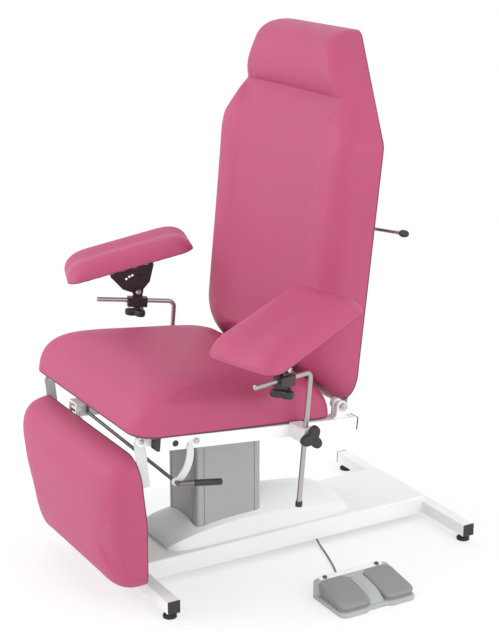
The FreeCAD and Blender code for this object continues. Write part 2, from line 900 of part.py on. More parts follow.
def hinge_pins():
    """Pins of the back hinge and bolts of the leg rest's hinge, on both sides."""
    inner = rail_outer - tube_size
    place = back_hinge_place
    rise = back_hinge_rise
    start = ear_inner - back_arm_sheet - face_gap * 2
    end = rail_outer
    pin = fused([
        rod_x(start, end, place, rise, pin_radius),
        rod_x(end, end + pin_head, place, rise, pin_head_radius),
        rod_x(start - pin_head, start, place, rise, pin_head_radius),
    ])
    far = inner - lug_sheet - leg_bar_sheet - face_gap * 2
    bolt = fused([
        rod_x(far, inner, leg_hinge_place, leg_hinge_rise, bolt_radius),
        rod_x(far - bolt_head, far, leg_hinge_place, leg_hinge_rise, bolt_head_radius),
    ])
    return both(pin) + both(bolt)


def back_half(side_in, low_in, top_in):
    """Right half of the back cushion's outline, in X and height."""
    low = back_bottom + low_in
    start = (back_low_half - side_in, low)
    bulge = (back_low_bulge - side_in, back_bottom + back_low_bulge_rise + low_in * back_bulge_in_share)
    turn = (back_side_half - side_in, back_side_start + low_in * back_turn_in_share)
    side = (back_top_half - side_in, back_side_end - top_in)
    shoulder = (back_shoulder_half - side_in, back_shoulder_rise - top_in)
    end = (back_crease_half - side_in, back_crease - top_in)
    return [(start,), (bulge, turn), (side,), (shoulder, end)]


def back_cushion():
    """The back cushion with raised sides and a shallow middle panel."""
    rings = []
    shares = zip(back_rise_shares, back_side_in_shares, back_low_in_shares, back_top_in_shares)
    for rise, side_in, low_in, top_in in shares:
        depth = back_plane - rise * back_thickness
        half = back_half(side_in * back_side_in, low_in * back_low_in, top_in * back_top_in)
        rings.append(ring(mirrored(half), lambda x, z, y=depth: V(x, y, z)))
    body = stacked(rings)
    radius = (panel_half ** 2 + panel_depth ** 2) / (2 * panel_depth)
    middle = back_plane - back_thickness + panel_depth - radius
    panel = rod(V(0, middle, back_bottom - cut_over), V(0, middle, back_crease + cut_over), radius)
    return body.cut(panel).cut(back_board())


def headrest_cushion():
    """The rounded head roll above the crease."""
    rings = []
    shares = zip(back_rise_shares, back_side_in_shares, back_low_in_shares, back_top_in_shares)
    for rise, side_in, low_in, top_in in shares:
        depth = back_plane - rise * head_thickness
        side = side_in * head_side_in
        low = low_in * head_low_in
        top = low_in * head_top_in
        half = [
            ((head_low_half - side, head_start + low),),
            ((head_mid_half - side, head_mid_rise), (head_top_half - side, head_top_rise - top)),
            ((head_corner_half - side, head_corner_rise - top), (head_end_half - side, head_end_rise - top)),
        ]
        rings.append(ring(mirrored(half), lambda x, z, y=depth: V(x, y, z)))
    return stacked(rings).cut(back_board())


def back_board():
    """The plywood of the back, let into the rear of both cushions."""
    inset = board_inset
    low = back_bottom + inset
    half = [
        ((back_low_half - inset, low),),
        ((back_low_bulge - inset, back_bottom + back_low_bulge_rise + inset), (back_side_half - inset,
                                                                               back_side_start)),
        ((back_top_half - inset, back_side_end),),
        ((back_shoulder_half - inset, back_shoulder_rise), (back_crease_half - inset, back_crease)),
        ((head_top_half - inset, head_top_rise - inset),),
        ((head_corner_half - inset, head_corner_rise - inset), (head_end_half - inset, head_end_rise - inset)),
    ]
    outline = ring(mirrored(half), lambda x, z: V(x, back_plane - board_sheet, z))
    return Part.Face(outline).extrude(V(0, board_sheet, 0))


def back_frame():
    """The steel frame behind the back: two hinge arms, a cross tube and the spring's lever plates."""
    rear = back_plane + back_arm_depth
    inner = ear_inner - face_gap - back_arm_sheet
    outer = ear_inner - face_gap
    arm = fused([
        rod_x(inner, outer, 0, 0, back_arm_drop),
        side_plate(inner, outer, (
            (0, -back_arm_drop), (rear, -back_arm_drop), (rear, back_arm_top), (back_plane, back_arm_top),
            (back_plane, back_arm_neck), (0, back_arm_neck),
        )),
    ])
    arm = arm.cut(rod_x(inner - cut_over, outer + cut_over, 0, 0, pin_radius + running_gap))
    tube = box(-inner, inner, back_plane, back_plane + back_tube_size,
               -back_arm_drop, back_tube_size - back_arm_drop)
    hollow = box(-inner - cut_over, inner + cut_over, back_plane + tube_wall,
                 back_plane + back_tube_size - tube_wall, tube_wall - back_arm_drop,
                 back_tube_size - back_arm_drop - tube_wall)
    parts = both(arm) + [tube.cut(hollow)]
    for sign in (-1, 1):
        x0 = back_spring_x + (spring_ear_half if sign > 0 else -spring_ear_half - spring_ear_sheet)
        x1 = x0 + spring_ear_sheet
        front = lever_place - spring_ear_radius
        end = lever_place + spring_ear_radius
        lever = box(x0, x1, front, end, -lever_drop, -back_arm_drop)
        low = rod_x(x0, x1, lever_place, -lever_drop, spring_ear_radius)
        outside = x1 if sign > 0 else x0 - anchor_head
        head = rod_x(outside, outside + anchor_head, lever_place, -lever_drop, anchor_head_radius)
        parts.extend([lever, low, head])
    return fused(parts)


def back_release_bracket():
    """Two small ears behind the board that carry the release lever's pin."""
    base = back_plane
    half = release_ear_half
    x0 = release_pivot_x - half
    x1 = release_pivot_x + half
    hub = release_hub_half + face_gap
    ears = [
        box(x0, x1, base, release_place - hub, release_rise - half, release_rise + half),
        box(x0, x1, release_place + hub, release_place + hub + release_ear_sheet, release_rise - half,
            release_rise + half),
        box(x0, x0 + release_ear_sheet, base, release_place + hub + release_ear_sheet, release_rise - half,
            release_rise + half),
    ]
    pin = rod(V(release_pivot_x, release_place - hub, release_rise),
              V(release_pivot_x, release_place + hub, release_rise), release_pin_radius)
    return fused(ears + [pin])


def release_tip():
    """Where the lever's bare rod ends and its knob begins."""
    return V(release_tip_x, release_place, release_rise + release_tip_rise)


def back_release_lever():
    """The lever's rod with its hub on the pin."""
    hub_half = release_hub_half
    center = V(release_pivot_x, release_place, release_rise)
    tip = release_tip()
    hub = rod(V(center.x, center.y - hub_half, center.z), V(center.x, center.y + hub_half, center.z),
              release_hub_radius)
    bar = rod(center, tip, release_rod_radius)
    bore = rod(V(center.x, center.y - hub_half - cut_over, center.z),
               V(center.x, center.y + hub_half + cut_over, center.z), release_pin_radius + running_gap)
    return fused([hub, bar]).cut(bore)


def back_release_knob():
    """The oval knob on the lever's tip."""
    start = release_tip()
    way = start - V(release_pivot_x, release_place, release_rise)
    body = rod(start, start + way / way.Length * release_knob_length, release_knob_radius)
    return body.makeFillet(release_knob_radius / 2, [body.Edges[0], body.Edges[2]])


def leg_half_outline(inset):
    """Right half of the leg cushion's outline, in X and height."""
    low = leg_bottom + inset
    top = leg_top - inset
    wide = leg_half - inset
    narrow = leg_low_half - inset
    low_corner = leg_low_corner + inset * corner_grow_share
    top_corner = leg_top_corner + inset * corner_grow_share
    start = (narrow - low_corner, low)
    turn = (narrow, low + low_corner)
    side = (wide, leg_bulge_rise)
    high = (wide, top - top_corner)
    end = (wide - top_corner, top)
    return [(start,), (arc_middle(start, turn, "x first"), turn), (side,), (high,),
            (arc_middle(high, end, "y first"), end)]


def leg_board():
    """The plywood of the leg rest, let into the rear of its cushion."""
    outline = ring(mirrored(leg_half_outline(board_inset)), lambda x, z: V(x, leg_plane - board_sheet, z))
    return Part.Face(outline).extrude(V(0, board_sheet, 0))


def leg_cushion():
    """The leg cushion with its crown and drawn-in edges."""
    rings = []
    for rise, inset in zip(leg_rise_shares, leg_in_shares):
        depth = leg_plane - rise * leg_thickness
        rings.append(ring(mirrored(leg_half_outline(inset * leg_edge_in)), lambda x, z, y=depth: V(x, y, z)))
    return stacked(rings).cut(leg_board())


def leg_frame():
    """Two hinge bars, a strap across the board and the spring's lower ears."""
    outer = rail_outer - tube_size - lug_sheet - face_gap
    inner = outer - leg_bar_sheet
    rear = leg_plane + leg_bar_depth
    bar = fused([
        rod_x(inner, outer, 0, 0, lug_radius),
        box(inner, outer, leg_plane, rear, leg_bar_end, 0),
    ])
    bar = bar.cut(rod_x(inner - cut_over, outer + cut_over, 0, 0, bolt_radius + running_gap))
    low = leg_foot_drop - spring_ear_radius
    high = leg_foot_drop + spring_ear_radius
    ear_root = leg_plane + leg_strap + leg_strap
    ear_reach = spring_ear_half + spring_ear_sheet
    strap = box(-inner, inner, leg_plane, leg_plane + leg_strap, leg_foot_drop - leg_strap_half,
                leg_foot_drop + leg_strap_half)
    parts = [box(spring_x - ear_reach, spring_x + ear_reach, leg_plane + leg_strap, ear_root, low, high)]
    for sign in (-1, 1):
        x0 = spring_x + (spring_ear_half if sign > 0 else -spring_ear_half - spring_ear_sheet)
        x1 = x0 + spring_ear_sheet
        ear = box(x0, x1, leg_plane + leg_strap, leg_foot_place, low, high)
        end = rod_x(x0, x1, leg_foot_place, leg_foot_drop, spring_ear_radius)
        outside = x1 if sign > 0 else x0 - anchor_head
        head = rod_x(outside, outside + anchor_head, leg_foot_place, leg_foot_drop, anchor_head_radius)
        parts.extend([ear, end, head])
    return both(bar) + [strap, fused(parts)]


def spring_ends(x, anchor, foot):
    """Both ends of a gas spring and the way between them."""
    start = V(x, anchor.y, anchor.z)
    end = V(x, foot.y, foot.z)
    way = end - start
    return start, end, way / way.Length, way.Length


leg_anchor_point = seat_place.multVec(V(0, leg_anchor_place, leg_anchor_rise))
leg_foot_point = leg_frame_place.multVec(V(0, leg_foot_place, leg_foot_drop))
back_anchor_point = seat_place.multVec(V(0, back_anchor_place, back_anchor_rise))
back_foot_point = back_frame_place.multVec(V(0, lever_place, -lever_drop))


def eye(x, center):
    """The eye at a spring's end, as wide as the gap between its ears allows."""
    half = spring_ear_half - face_gap
    return rod_x(x - half, x + half, center.y, center.z, eye_radius)


def spring_rod(x, anchor, foot, from_anchor, stroke):
    """The piston rod with the eye at its end. stroke is the way it still has to go into its cylinder."""
    start, end, way, length = spring_ends(x, anchor, foot)
    reach = length - eye_radius - cylinder_wall - face_gap - stroke
    if from_anchor:
        tip = start + way * reach
        return fused([eye(x, start), rod(start, tip, spring_rod_radius)])
    tip = end - way * reach
    return fused([eye(x, end), rod(end, tip, spring_rod_radius)])


def spring_cylinder(x, anchor, foot, from_anchor, length, radius):
    """The cylinder, with a blind bore for the rod and an eye at its end."""
    start, end, way, span = spring_ends(x, anchor, foot)
    closed = start if from_anchor else end
    toward = way if from_anchor else way * -1
    body = rod(closed, closed + toward * length, radius)
    bore = rod(closed + toward * (eye_radius + cylinder_wall), closed + toward * (length + cut_over),
               spring_rod_radius + running_gap)
    return fused([eye(x, closed), body]).cut(bore)


def bored(shape, x, center):
    """A spring eye with a running bore for its bolt."""
    half = spring_ear_half + cut_over
    return shape.cut(rod_x(x - half, x + half, center.y, center.z, anchor_bolt_radius + running_gap))


def leg_spring_rod():
    """Piston rod of the leg rest's spring, hung from the seat frame."""
    body = spring_rod(spring_x, leg_anchor_point, leg_foot_point, True, 0)
    return bored(body, spring_x, leg_anchor_point)


def leg_spring_cylinder():
    """Cylinder of the leg rest's spring."""
    return spring_cylinder(spring_x, leg_anchor_point, leg_foot_point, False, leg_cylinder_length,
                           leg_cylinder_radius)


def back_spring_cylinder():
    """Cylinder of the back's spring, hung from the seat frame."""
    body = spring_cylinder(back_spring_x, back_anchor_point, back_foot_point, True, back_cylinder_length,
                           back_cylinder_radius)
    return bored(body, back_spring_x, back_anchor_point)


def back_spring_rod():
    """Piston rod of the back's spring."""
    return spring_rod(back_spring_x, back_anchor_point, back_foot_point, False, back_spring_stroke)


def release_hanger():
    """The curved flat bar under the left rail, with the bearing eye for the torsion rod."""
    half = hanger_width / 2
    x0 = hanger_x
    x1 = hanger_x + hanger_sheet
    (y0, z0), (y1, z1), (y2, z2) = [seat_level(point) for point in (hanger_top, hanger_bend, hanger_eye)]
    front = [(y0 - half, z0), (y1 - half, z1), (y2 - half, z2)]
    rear = [(y2 + half, z2 - half), (y1 + half, z1 - half), (y0 + half, z0)]
    edges = [
        Part.LineSegment(V(x0, *rear[2]), V(x0, *front[0])).toShape(),
        Part.Arc(V(x0, *front[0]), V(x0, *front[1]), V(x0, *front[2])).toShape(),
        Part.LineSegment(V(x0, *front[2]), V(x0, *rear[0])).toShape(),
        Part.Arc(V(x0, *rear[0]), V(x0, *rear[1]), V(x0, *rear[2])).toShape(),
    ]
    bar = Part.Face(Part.Wire(edges)).extrude(V(x1 - x0, 0, 0))
    ring_eye = rod_x(x0, x1, y2, z2, hanger_eye_radius)
    screw = rod_x(x1, x1 + rail_plug_head, y0, z0 + half / 2, rail_screw_radius)
    way = torsion_way()
    center = torsion_end()
    bore = rod(center - way * finger_length, center + way * finger_length, torsion_radius + running_gap)
    return fused([bar, ring_eye, screw]).cut(bore)


def torsion_end():
    """Middle of the torsion rod's bearing in the hanger."""
    return V(hanger_x + hanger_sheet / 2, *seat_level(hanger_eye))


def torsion_root():
    """The torsion rod's end at the gas spring."""
    return V(torsion_start_x, *seat_level(torsion_start))


def torsion_way():
    """Direction of the torsion rod, from the gas spring to the hanger."""
    way = torsion_end() - torsion_root()
    return way / way.Length


def release_rod():
    """The torsion rod with its finger at the spring and the clevis at the handle."""
    start = torsion_root()
    way = torsion_way()
    end = torsion_end() + way * torsion_overhang
    shaft = rod(start, end, torsion_radius)
    foot = start + way * torsion_radius
    finger = rod(foot, foot + V(0, 0, finger_length), torsion_radius)
    base = torsion_end() + way * (torsion_overhang - clevis_half)
    grip_way = grip_direction()
    clevis = rod(base, base + grip_way * clevis_length, clevis_half)
    return fused([shaft, finger, clevis])


def grip_direction():
    """Where the grip points: to the rear and a little down."""
    way = V(0, grip_start + grip_length, -grip_drop)
    return way / way.Length


def release_grip():
    """The black grip on the clevis."""
    base = torsion_end() + torsion_way() * (torsion_overhang - clevis_half)
    way = grip_direction()
    start = base + way * clevis_length
    body = rod(start, start + way * grip_length, grip_radius)
    return body.makeFillet(grip_radius / 2, [body.Edges[0], body.Edges[2]])


def post_clamps():
    """Clamp blocks on the rails' outer faces, bored for the posts and the knobs' studs."""
    block = box(rail_outer, clamp_outer, post_place - clamp_half, post_place + clamp_half,
                clamp_bottom, clamp_top)
    upright = [e for e in edges_along(block, V(0, 0, 1)) if e.BoundBox.XMin > rail_outer + clamp_round]
    block = block.makeFillet(clamp_round, upright)
    bore = rod(V(post_x, post_place, clamp_bottom - cut_over), V(post_x, post_place, clamp_top + cut_over),
               post_radius + running_gap)
    stud = rod_x(post_x, clamp_outer + cut_over, post_place, knob_rise, knob_stud + running_gap)
    return both(block.cut(bore).cut(stud))


def three_lobe_knob(stud_length):
    """A knob with three lobes on Z: the stud runs down from its neck, which starts at z = 0."""
    lobes = [Part.makeCylinder(knob_core_radius, knob_height, V(0, 0, knob_neck))]
    for turn in (90, 210, 330):
        angle = math.radians(turn)
        center = V(knob_lobe_place * math.cos(angle), knob_lobe_place * math.sin(angle), knob_neck)
        lobes.append(Part.makeCylinder(knob_lobe_radius, knob_height, center))
    head = fused(lobes)
    top_edges = [e for e in head.Edges if e.BoundBox.ZMin > knob_neck + knob_height - face_gap]
    head = head.makeFillet(knob_round, top_edges)
    neck = Part.makeCylinder(knob_stud * 2, knob_neck, V(0, 0, 0))
    stud = Part.makeCylinder(knob_stud, stud_length, V(0, 0, -stud_length))
    return fused([head, neck, stud])


def post_knob(side):
    """The knob that clamps an arm post, with its axis across the chair."""
    sign = 1 if side == "left" else -1
    stud = clamp_outer - post_x - post_radius - running_gap
    knob = three_lobe_knob(stud)
    turn = FreeCAD.Rotation(V(0, 1, 0), sign * 90)
    place = FreeCAD.Placement(V(sign * (clamp_outer + running_gap), post_place, knob_rise), turn)
    knob.Placement = place
    return knob


def arm_post():
    """The bent steel rod: upright below its corner, then level towards the front."""
    low = post_bottom - post_top
    upright = rod(V(0, 0, low), V(0, 0, -post_corner), post_radius)
    start = V(0, 0, -post_corner)
    end = V(0, -post_corner, 0)
    middle = V(0, (math.sqrt(0.5) - 1) * post_corner, (math.sqrt(0.5) - 1) * post_corner)
    path = Part.Wire([Part.Arc(start, middle, end).toShape()])
    circle = Part.Wire([Part.makeCircle(post_radius, start, V(0, 0, 1))])
    bend = path.makePipeShell([circle], True, False)
    level = rod(end, V(0, -post_reach, 0), post_radius)
    far_edges = [e for e in level.Edges if e.BoundBox.YMax < face_gap - post_reach]
    level = level.makeFillet(post_radius / 3, far_edges)
    return fused([upright, bend, level])


def post_cap():
    """The cap on the post's lower end, which slides with it and lets it turn."""
    low = post_bottom - post_top
    foot = low - post_cap_floor
    outer = rod(V(0, 0, foot), V(0, 0, foot + post_cap_depth), post_cap_radius)
    inner = rod(V(0, 0, low - running_gap), V(0, 0, low + post_cap_depth), post_radius + running_gap)
    return outer.cut(inner)


def pad_clamp():
    """The clamp block on the level rod, with the fork that carries the pad's bracket."""
    block = box(-pad_clamp_side, pad_clamp_side, -pad_reach - pad_clamp_half, pad_clamp_half - pad_reach,
                -pad_clamp_under, pad_clamp_over)
    block = block.makeFillet(clamp_round / 2, edges_along(block, V(0, 1, 0)))
    inner = bracket_sheet / 2 + face_gap
    parts = [block]
    for x0 in (inner, -inner - fork_sheet):
        foot = box(x0, x0 + fork_sheet, -pad_reach - fork_radius, fork_radius - pad_reach, 0, pad_pivot_rise)
        top = rod_x(x0, x0 + fork_sheet, -pad_reach, pad_pivot_rise, fork_radius)
        parts.extend([foot, top])
    bolt_end = inner + fork_sheet + pivot_head
    parts.append(rod_x(-bolt_end, bolt_end, -pad_reach, pad_pivot_rise, pivot_radius))
    parts.append(rod_x(bolt_end - pivot_head, bolt_end, -pad_reach, pad_pivot_rise, pivot_head_radius))
    parts.append(rod_x(-bolt_end, pivot_head - bolt_end, -pad_reach, pad_pivot_rise, pivot_head_radius))
    room = box(-inner, inner, -pad_reach - pad_clamp_half, pad_clamp_half - pad_reach,
               pad_clamp_over - face_gap, pad_pivot_rise * 2)
    pin = rod_x(-inner, inner, -pad_reach, pad_pivot_rise, pivot_radius)
    body = fused([fused(parts).cut(room), pin])
    bore = rod(V(0, -post_reach * 2, 0), V(0, cut_over, 0), post_radius + running_gap)
    stud = rod(V(0, -pad_reach, -pad_clamp_under - cut_over), V(0, -pad_reach, 0), knob_stud + running_gap)
    return body.cut(bore).cut(stud)


def pad_knob():
    """The knob under the pad's clamp, pointing down."""
    stud = pad_clamp_under - post_radius - running_gap
    knob = three_lobe_knob(stud)
    knob.Placement = FreeCAD.Placement(V(0, -pad_reach, -pad_clamp_under - running_gap),
                                       FreeCAD.Rotation(V(1, 0, 0), 180))
    return knob


def pad_bracket():
    """The bracket plate in the pad's frame, with its index holes, detent head and the flange on top."""
    half = bracket_sheet / 2
    top = pad_seat_rise
    points = (
        (-bracket_top_half, top - flange_sheet), (bracket_top_half, top - flange_sheet),
        (bracket_top_half, bracket_wide_rise), (bracket_low_half, bracket_low_rise),
        (bracket_neck, 0), (-bracket_neck, 0),
        (-bracket_low_half, bracket_low_rise), (-bracket_top_half, bracket_wide_rise),
    )
    plate = fused([side_plate(-half, half, points), rod_x(-half, half, 0, 0, bracket_neck)])
    plate = plate.cut(rod_x(-half - cut_over, half + cut_over, 0, 0, pivot_radius + running_gap))
    for angle in index_angles:
        turn = math.radians(angle)
        y = -index_radius * math.sin(turn)
        z = index_radius * math.cos(turn)
        plate = plate.cut(rod_x(-half - cut_over, half + cut_over, y, z, index_hole_radius))
    turn = math.radians(detent_angle)
    y = -detent_radius * math.sin(turn)
    z = detent_radius * math.cos(turn)
    heads = [rod_x(half, half + detent_head, y, z, detent_head_radius),
             rod_x(-half - detent_head, -half, y, z, detent_head_radius)]
    flange = box(-flange_half, flange_half, -bracket_top_half, bracket_top_half, top - flange_sheet, top)
    return fused([plate, flange] + heads)


def pad_half(inset):
    """Right half of an arm pad's outline, in X and along the pad."""
    front = inset - pad_half_length
    rear = pad_half_length - inset
    wide = pad_half_width - inset
    corner = min(pad_corner, wide - pad_corner_rest)
    start = (wide - corner, front)
    turn = (wide, front + corner)
    out = (wide, rear - corner)
    end = (wide - corner, rear)
    return [(start,), (arc_middle(start, turn, "x first"), turn), (out,),
            (arc_middle(out, end, "y first"), end)]


def arm_board_shape():
    """The plywood under an arm pad."""
    outline = ring(mirrored(pad_half(pad_board_inset)), lambda x, y: V(x, y, pad_seat_rise))
    return Part.Face(outline).extrude(V(0, 0, board_sheet))


def arm_cushion():
    """The arm cushion with round edges and a shallow gutter along its top."""
    rings = []
    for rise, inset in zip(pad_rise_shares, pad_in_shares):
        height = pad_seat_rise + rise * pad_height
        rings.append(ring(mirrored(pad_half(inset * pad_edge_in)), lambda x, y, z=height: V(x, y, z)))
    middle = pad_seat_rise + pad_height - gutter_depth + gutter_radius
    reach = pad_half_length * 2
    gutter = rod(V(0, -reach, middle), V(0, reach, middle), gutter_radius)
    return stacked(rings).cut(arm_board_shape()).cut(gutter)


def switch_slope(u):
    """Height of the foot switch's top at a distance from its high side."""
    share = (u - switch_strip) / (switch_length - switch_strip)
    return switch_high - share * (switch_high - switch_low)


def pedal_wells():
    """The spans in Y of the two pedals."""
    half = pedal_divider / 2
    return (
        ("right", switch_y - switch_half + switch_rim, switch_y - half),
        ("left", switch_y + half, switch_y + switch_half - switch_rim),
    )


def switch_housing():
    """The foot switch's housing: a wedge with two open wells for the pedals."""
    x0 = switch_x
    x1 = switch_x + switch_length
    y0 = switch_y - switch_half
    y1 = switch_y + switch_half
    points = [(x0, 0), (x1, 0), (x1, switch_low), (x0 + switch_strip, switch_high), (x0, switch_high)]
    corners = [V(x, y0, z) for x, z in points]
    body = Part.Face(Part.makePolygon(corners + [corners[0]])).extrude(V(0, y1 - y0, 0))
    body = body.makeFillet(switch_corner, edges_along(body, V(0, 0, 1)))
    for name, low, high in pedal_wells():
        a = x0 + switch_strip
        b = x1 - switch_lip
        well = [(a, switch_slope(a - x0) - pedal_well), (b, switch_floor), (b, switch_high),
                (a, switch_high + cut_over)]
        corners = [V(x, low, z) for x, z in well]
        body = body.cut(Part.Face(Part.makePolygon(corners + [corners[0]])).extrude(V(0, high - low, 0)))
        pin = pedal_axis()
        body = fused([body, rod(V(pin[0], low, pin[1]), V(pin[0], high, pin[1]), pedal_pin_radius)])
    return body


def pedal_axis():
    """Place of the pedals' pin in X and Z."""
    u = switch_strip + pedal_boss_radius + pedal_gap
    return switch_x + u, switch_slope(u) - pedal_pin_drop


def switch_strip_plate():
    """The pale strip along the high side with its two screws."""
    x0 = switch_x + switch_strip_sheet
    x1 = switch_x + switch_strip - switch_strip_sheet
    y0 = switch_y - switch_half + switch_rim
    y1 = switch_y + switch_half - switch_rim
    parts = [box(x0, x1, y0, y1, switch_high, switch_high + switch_strip_sheet)]
    for sign in (-1, 1):
        y = switch_y + sign * switch_half * switch_screw_share
        base = V((x0 + x1) / 2, y, switch_high + switch_strip_sheet)
        parts.append(Part.makeCylinder(switch_screw_radius, switch_strip_sheet / 2, base))
    return fused(parts)


def pedal(low, high):
    """One rocking pedal with the boss that runs on its pin."""
    gap = pedal_gap
    x0 = switch_x + switch_strip + gap
    x1 = switch_x + switch_length - switch_lip - gap
    top0 = switch_slope(x0 - switch_x)
    top1 = switch_slope(x1 - switch_x)
    points = [(x0, top0 - pedal_sheet), (x1, top1 - pedal_sheet), (x1, top1), (x0, top0)]
    corners = [V(x, low + gap, z) for x, z in points]
    plate = Part.Face(Part.makePolygon(corners + [corners[0]])).extrude(V(0, high - low - gap * 2, 0))
    x, z = pedal_axis()
    boss = rod(V(x, low + gap, z), V(x, high - gap, z), pedal_boss_radius)
    bore = rod(V(x, low, z), V(x, high, z), pedal_pin_radius + running_gap)
    return fused([plate, boss]).cut(bore)


def control_box():
    """The lift's controller under the tray."""
    return box(-box_half_x, box_half_x, box_front, box_rear, box_bottom, tray_top - tray_sheet)


def cord_gland():
    """The gland in the controller's side, bored for the cord."""
    start = V(box_half_x, gland_y, gland_z)
    body = rod(start, start + V(gland_length, 0, 0), gland_radius)
    return body.makeFillet(gland_radius / 4, [body.Edges[0]])


def cord_path():
    """The cord's route as straight runs joined by tangent arcs."""
    points = [V(*p) for p in cord_points]
    edges = []
    radii = []
    here = points[0]
    for before, corner, after in zip(points, points[1:], points[2:]):
        come = (corner - before).normalize()
        go = (after - corner).normalize()
        turn = come.getAngle(go)
        shorter = min((corner - before).Length, (after - corner).Length)
        back = cord_bend_share * shorter
        radius = back / math.tan(turn / 2)
        start = corner - come * back
        end = corner + go * back
        inward = (go - come).normalize()
        center = corner + inward * (radius / math.cos(turn / 2))
        middle = center - inward * radius
        edges.append(Part.LineSegment(here, start).toShape())
        edges.append(Part.Arc(start, middle, end).toShape())
        radii.append(radius)
        here = end
    edges.append(Part.LineSegment(here, points[-1]).toShape())
    return Part.Wire(edges), radii


def switch_cord():
    """The cord from the gland to the foot switch, along the floor."""
    path, radii = cord_path()
    start = V(*cord_points[0])
    way = V(*cord_points[1]) - start
    circle = Part.Wire([Part.makeCircle(cord_radius, start, way)])
    tube = path.makePipeShell([circle], True, False)
    ideal = math.pi * cord_radius ** 2 * path.Length
    print("cord radii", [round(radius, 1) for radius in radii])
    print("cord length", round(path.Length, 1), "volume share", round(tube.Volume / ideal, 4))
    return tube


def placed(shapes, place):
    """Shapes moved into the part's frame, joined into one compound when there are several."""
    if not isinstance(shapes, (list, tuple)):
        shapes = [shapes]
    moved = []
    for shape in shapes:
        copy = shape.copy()
        copy.Placement = chair_place.multiply(place).multiply(copy.Placement)
        moved.append(copy)
    return moved[0] if len(moved) == 1 else Part.makeCompound(moved)


def make_parts():
    """Every node of the chair by name."""
    base = FreeCAD.Placement()
    nodes = {
        "base_cross_tubes": placed(base_cross_tubes(), base),
        "tube_caps": placed(tube_caps(), base),
        "leveling_feet": placed(leveling_feet(), base),
        "base_tray": placed(base_tray(), base),
        "base_fairing": placed(base_fairing(), base),
        "column_outer": placed(column_outer(), base),
        "column_middle": placed(column_middle(), base),
        "column_inner": placed(column_inner(), base),
        "column_glides": placed(column_glides(), base),
        "lift_spindle": placed(lift_spindle(), base),
        "lift_drive": placed(lift_drive(), base),
        "column_head": placed(column_head(), base),
        "control_box": placed(control_box(), base),
        "cord_gland": placed(cord_gland(), base),
        "switch_cord": placed(switch_cord(), base),
        "switch_housing": placed(switch_housing(), base),
        "switch_strip": placed(switch_strip_plate(), base),
        "seat_rail_left": placed(seat_rail(), seat_place),
        "seat_rail_right": placed(both(seat_rail())[1], seat_place),
        "seat_cross_members": placed(seat_cross_members(), seat_place),
        "rail_caps": placed(rail_caps(), seat_place),
        "seat_board": placed(seat_board(), seat_place),
        "seat_cushion": placed(seat_cushion(), seat_place),
        "hinge_pins": placed(hinge_pins(), seat_place),
        "post_clamps": placed(post_clamps(), seat_place),
        "release_hanger": placed(release_hanger(), base),
        "release_rod": placed(release_rod(), base),
        "release_grip": placed(release_grip(), base),
        "back_frame": placed(back_frame(), back_frame_place),
        "back_board": placed(back_board(), back_frame_place),
        "back_cushion": placed(back_cushion(), back_frame_place),
        "headrest_cushion": placed(headrest_cushion(), back_frame_place),
        "back_release_bracket": placed(back_release_bracket(), back_frame_place),
        "back_release_lever": placed(back_release_lever(), back_frame_place),
        "back_release_knob": placed(back_release_knob(), back_frame_place),
        "back_spring_cylinder": placed(back_spring_cylinder(), base),
        "back_spring_rod": placed(back_spring_rod(), base),
        "leg_frame": placed(leg_frame(), leg_frame_place),
        "leg_board": placed(leg_board(), leg_frame_place),
        "leg_cushion": placed(leg_cushion(), leg_frame_place),
        "leg_spring_rod": placed(leg_spring_rod(), base),
        "leg_spring_cylinder": placed(leg_spring_cylinder(), base),
    }
    for name, low, high in pedal_wells():
        nodes["pedal_" + name] = placed(pedal(low, high), base)
    for side in ("left", "right"):
        nodes["post_knob_" + side] = placed(post_knob(side), seat_place)
        nodes["post_cap_" + side] = placed(post_cap(), arm_place(side))
        nodes["arm_post_" + side] = placed(arm_post(), arm_place(side))
        nodes["pad_clamp_" + side] = placed(pad_clamp(), arm_place(side))
        nodes["pad_knob_" + side] = placed(pad_knob(), arm_place(side))
        nodes["pad_bracket_" + side] = placed(pad_bracket(), pad_place(side))
        nodes["arm_board_" + side] = placed(arm_board_shape(), cushion_place(side))
        nodes["arm_cushion_" + side] = placed(arm_cushion(), cushion_place(side))
    return nodes


def main():
    """Write one file for each node."""
    os.makedirs("parts", exist_ok=True)
    for name, shape in make_parts().items():
        shape.exportStep("parts/" + name + ".step")


main()
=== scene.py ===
"""Looks of the phlebotomy chair: upholstery, finishes, fittings and a plain studio round the model."""
import json
import math

import bmesh
import bpy
import numpy
from mathutils import Matrix, Vector


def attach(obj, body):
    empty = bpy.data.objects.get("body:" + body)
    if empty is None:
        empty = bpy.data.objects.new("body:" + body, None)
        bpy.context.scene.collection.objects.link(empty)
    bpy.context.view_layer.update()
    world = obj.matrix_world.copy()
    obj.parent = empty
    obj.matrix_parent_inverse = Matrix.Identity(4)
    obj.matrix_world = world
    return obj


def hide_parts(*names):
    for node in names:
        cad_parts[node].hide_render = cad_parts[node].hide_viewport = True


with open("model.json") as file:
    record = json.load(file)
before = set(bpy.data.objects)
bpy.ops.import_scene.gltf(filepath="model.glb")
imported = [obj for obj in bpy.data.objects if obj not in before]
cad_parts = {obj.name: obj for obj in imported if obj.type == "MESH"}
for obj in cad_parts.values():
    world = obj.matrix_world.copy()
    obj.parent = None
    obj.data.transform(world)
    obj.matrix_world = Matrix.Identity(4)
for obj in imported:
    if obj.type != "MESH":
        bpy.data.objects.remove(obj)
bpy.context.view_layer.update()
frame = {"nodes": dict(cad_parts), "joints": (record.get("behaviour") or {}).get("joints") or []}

bl_info = {
    "name": "Phlebotomy chair",
    "version": (1, 0, 0),
    "blender": (4, 5, 0),
    "location": "View3D > Sidebar > Chair",
    "description": "Upholstery, finishes and fittings of a blood-sampling chair",
    "category": "Object",
}

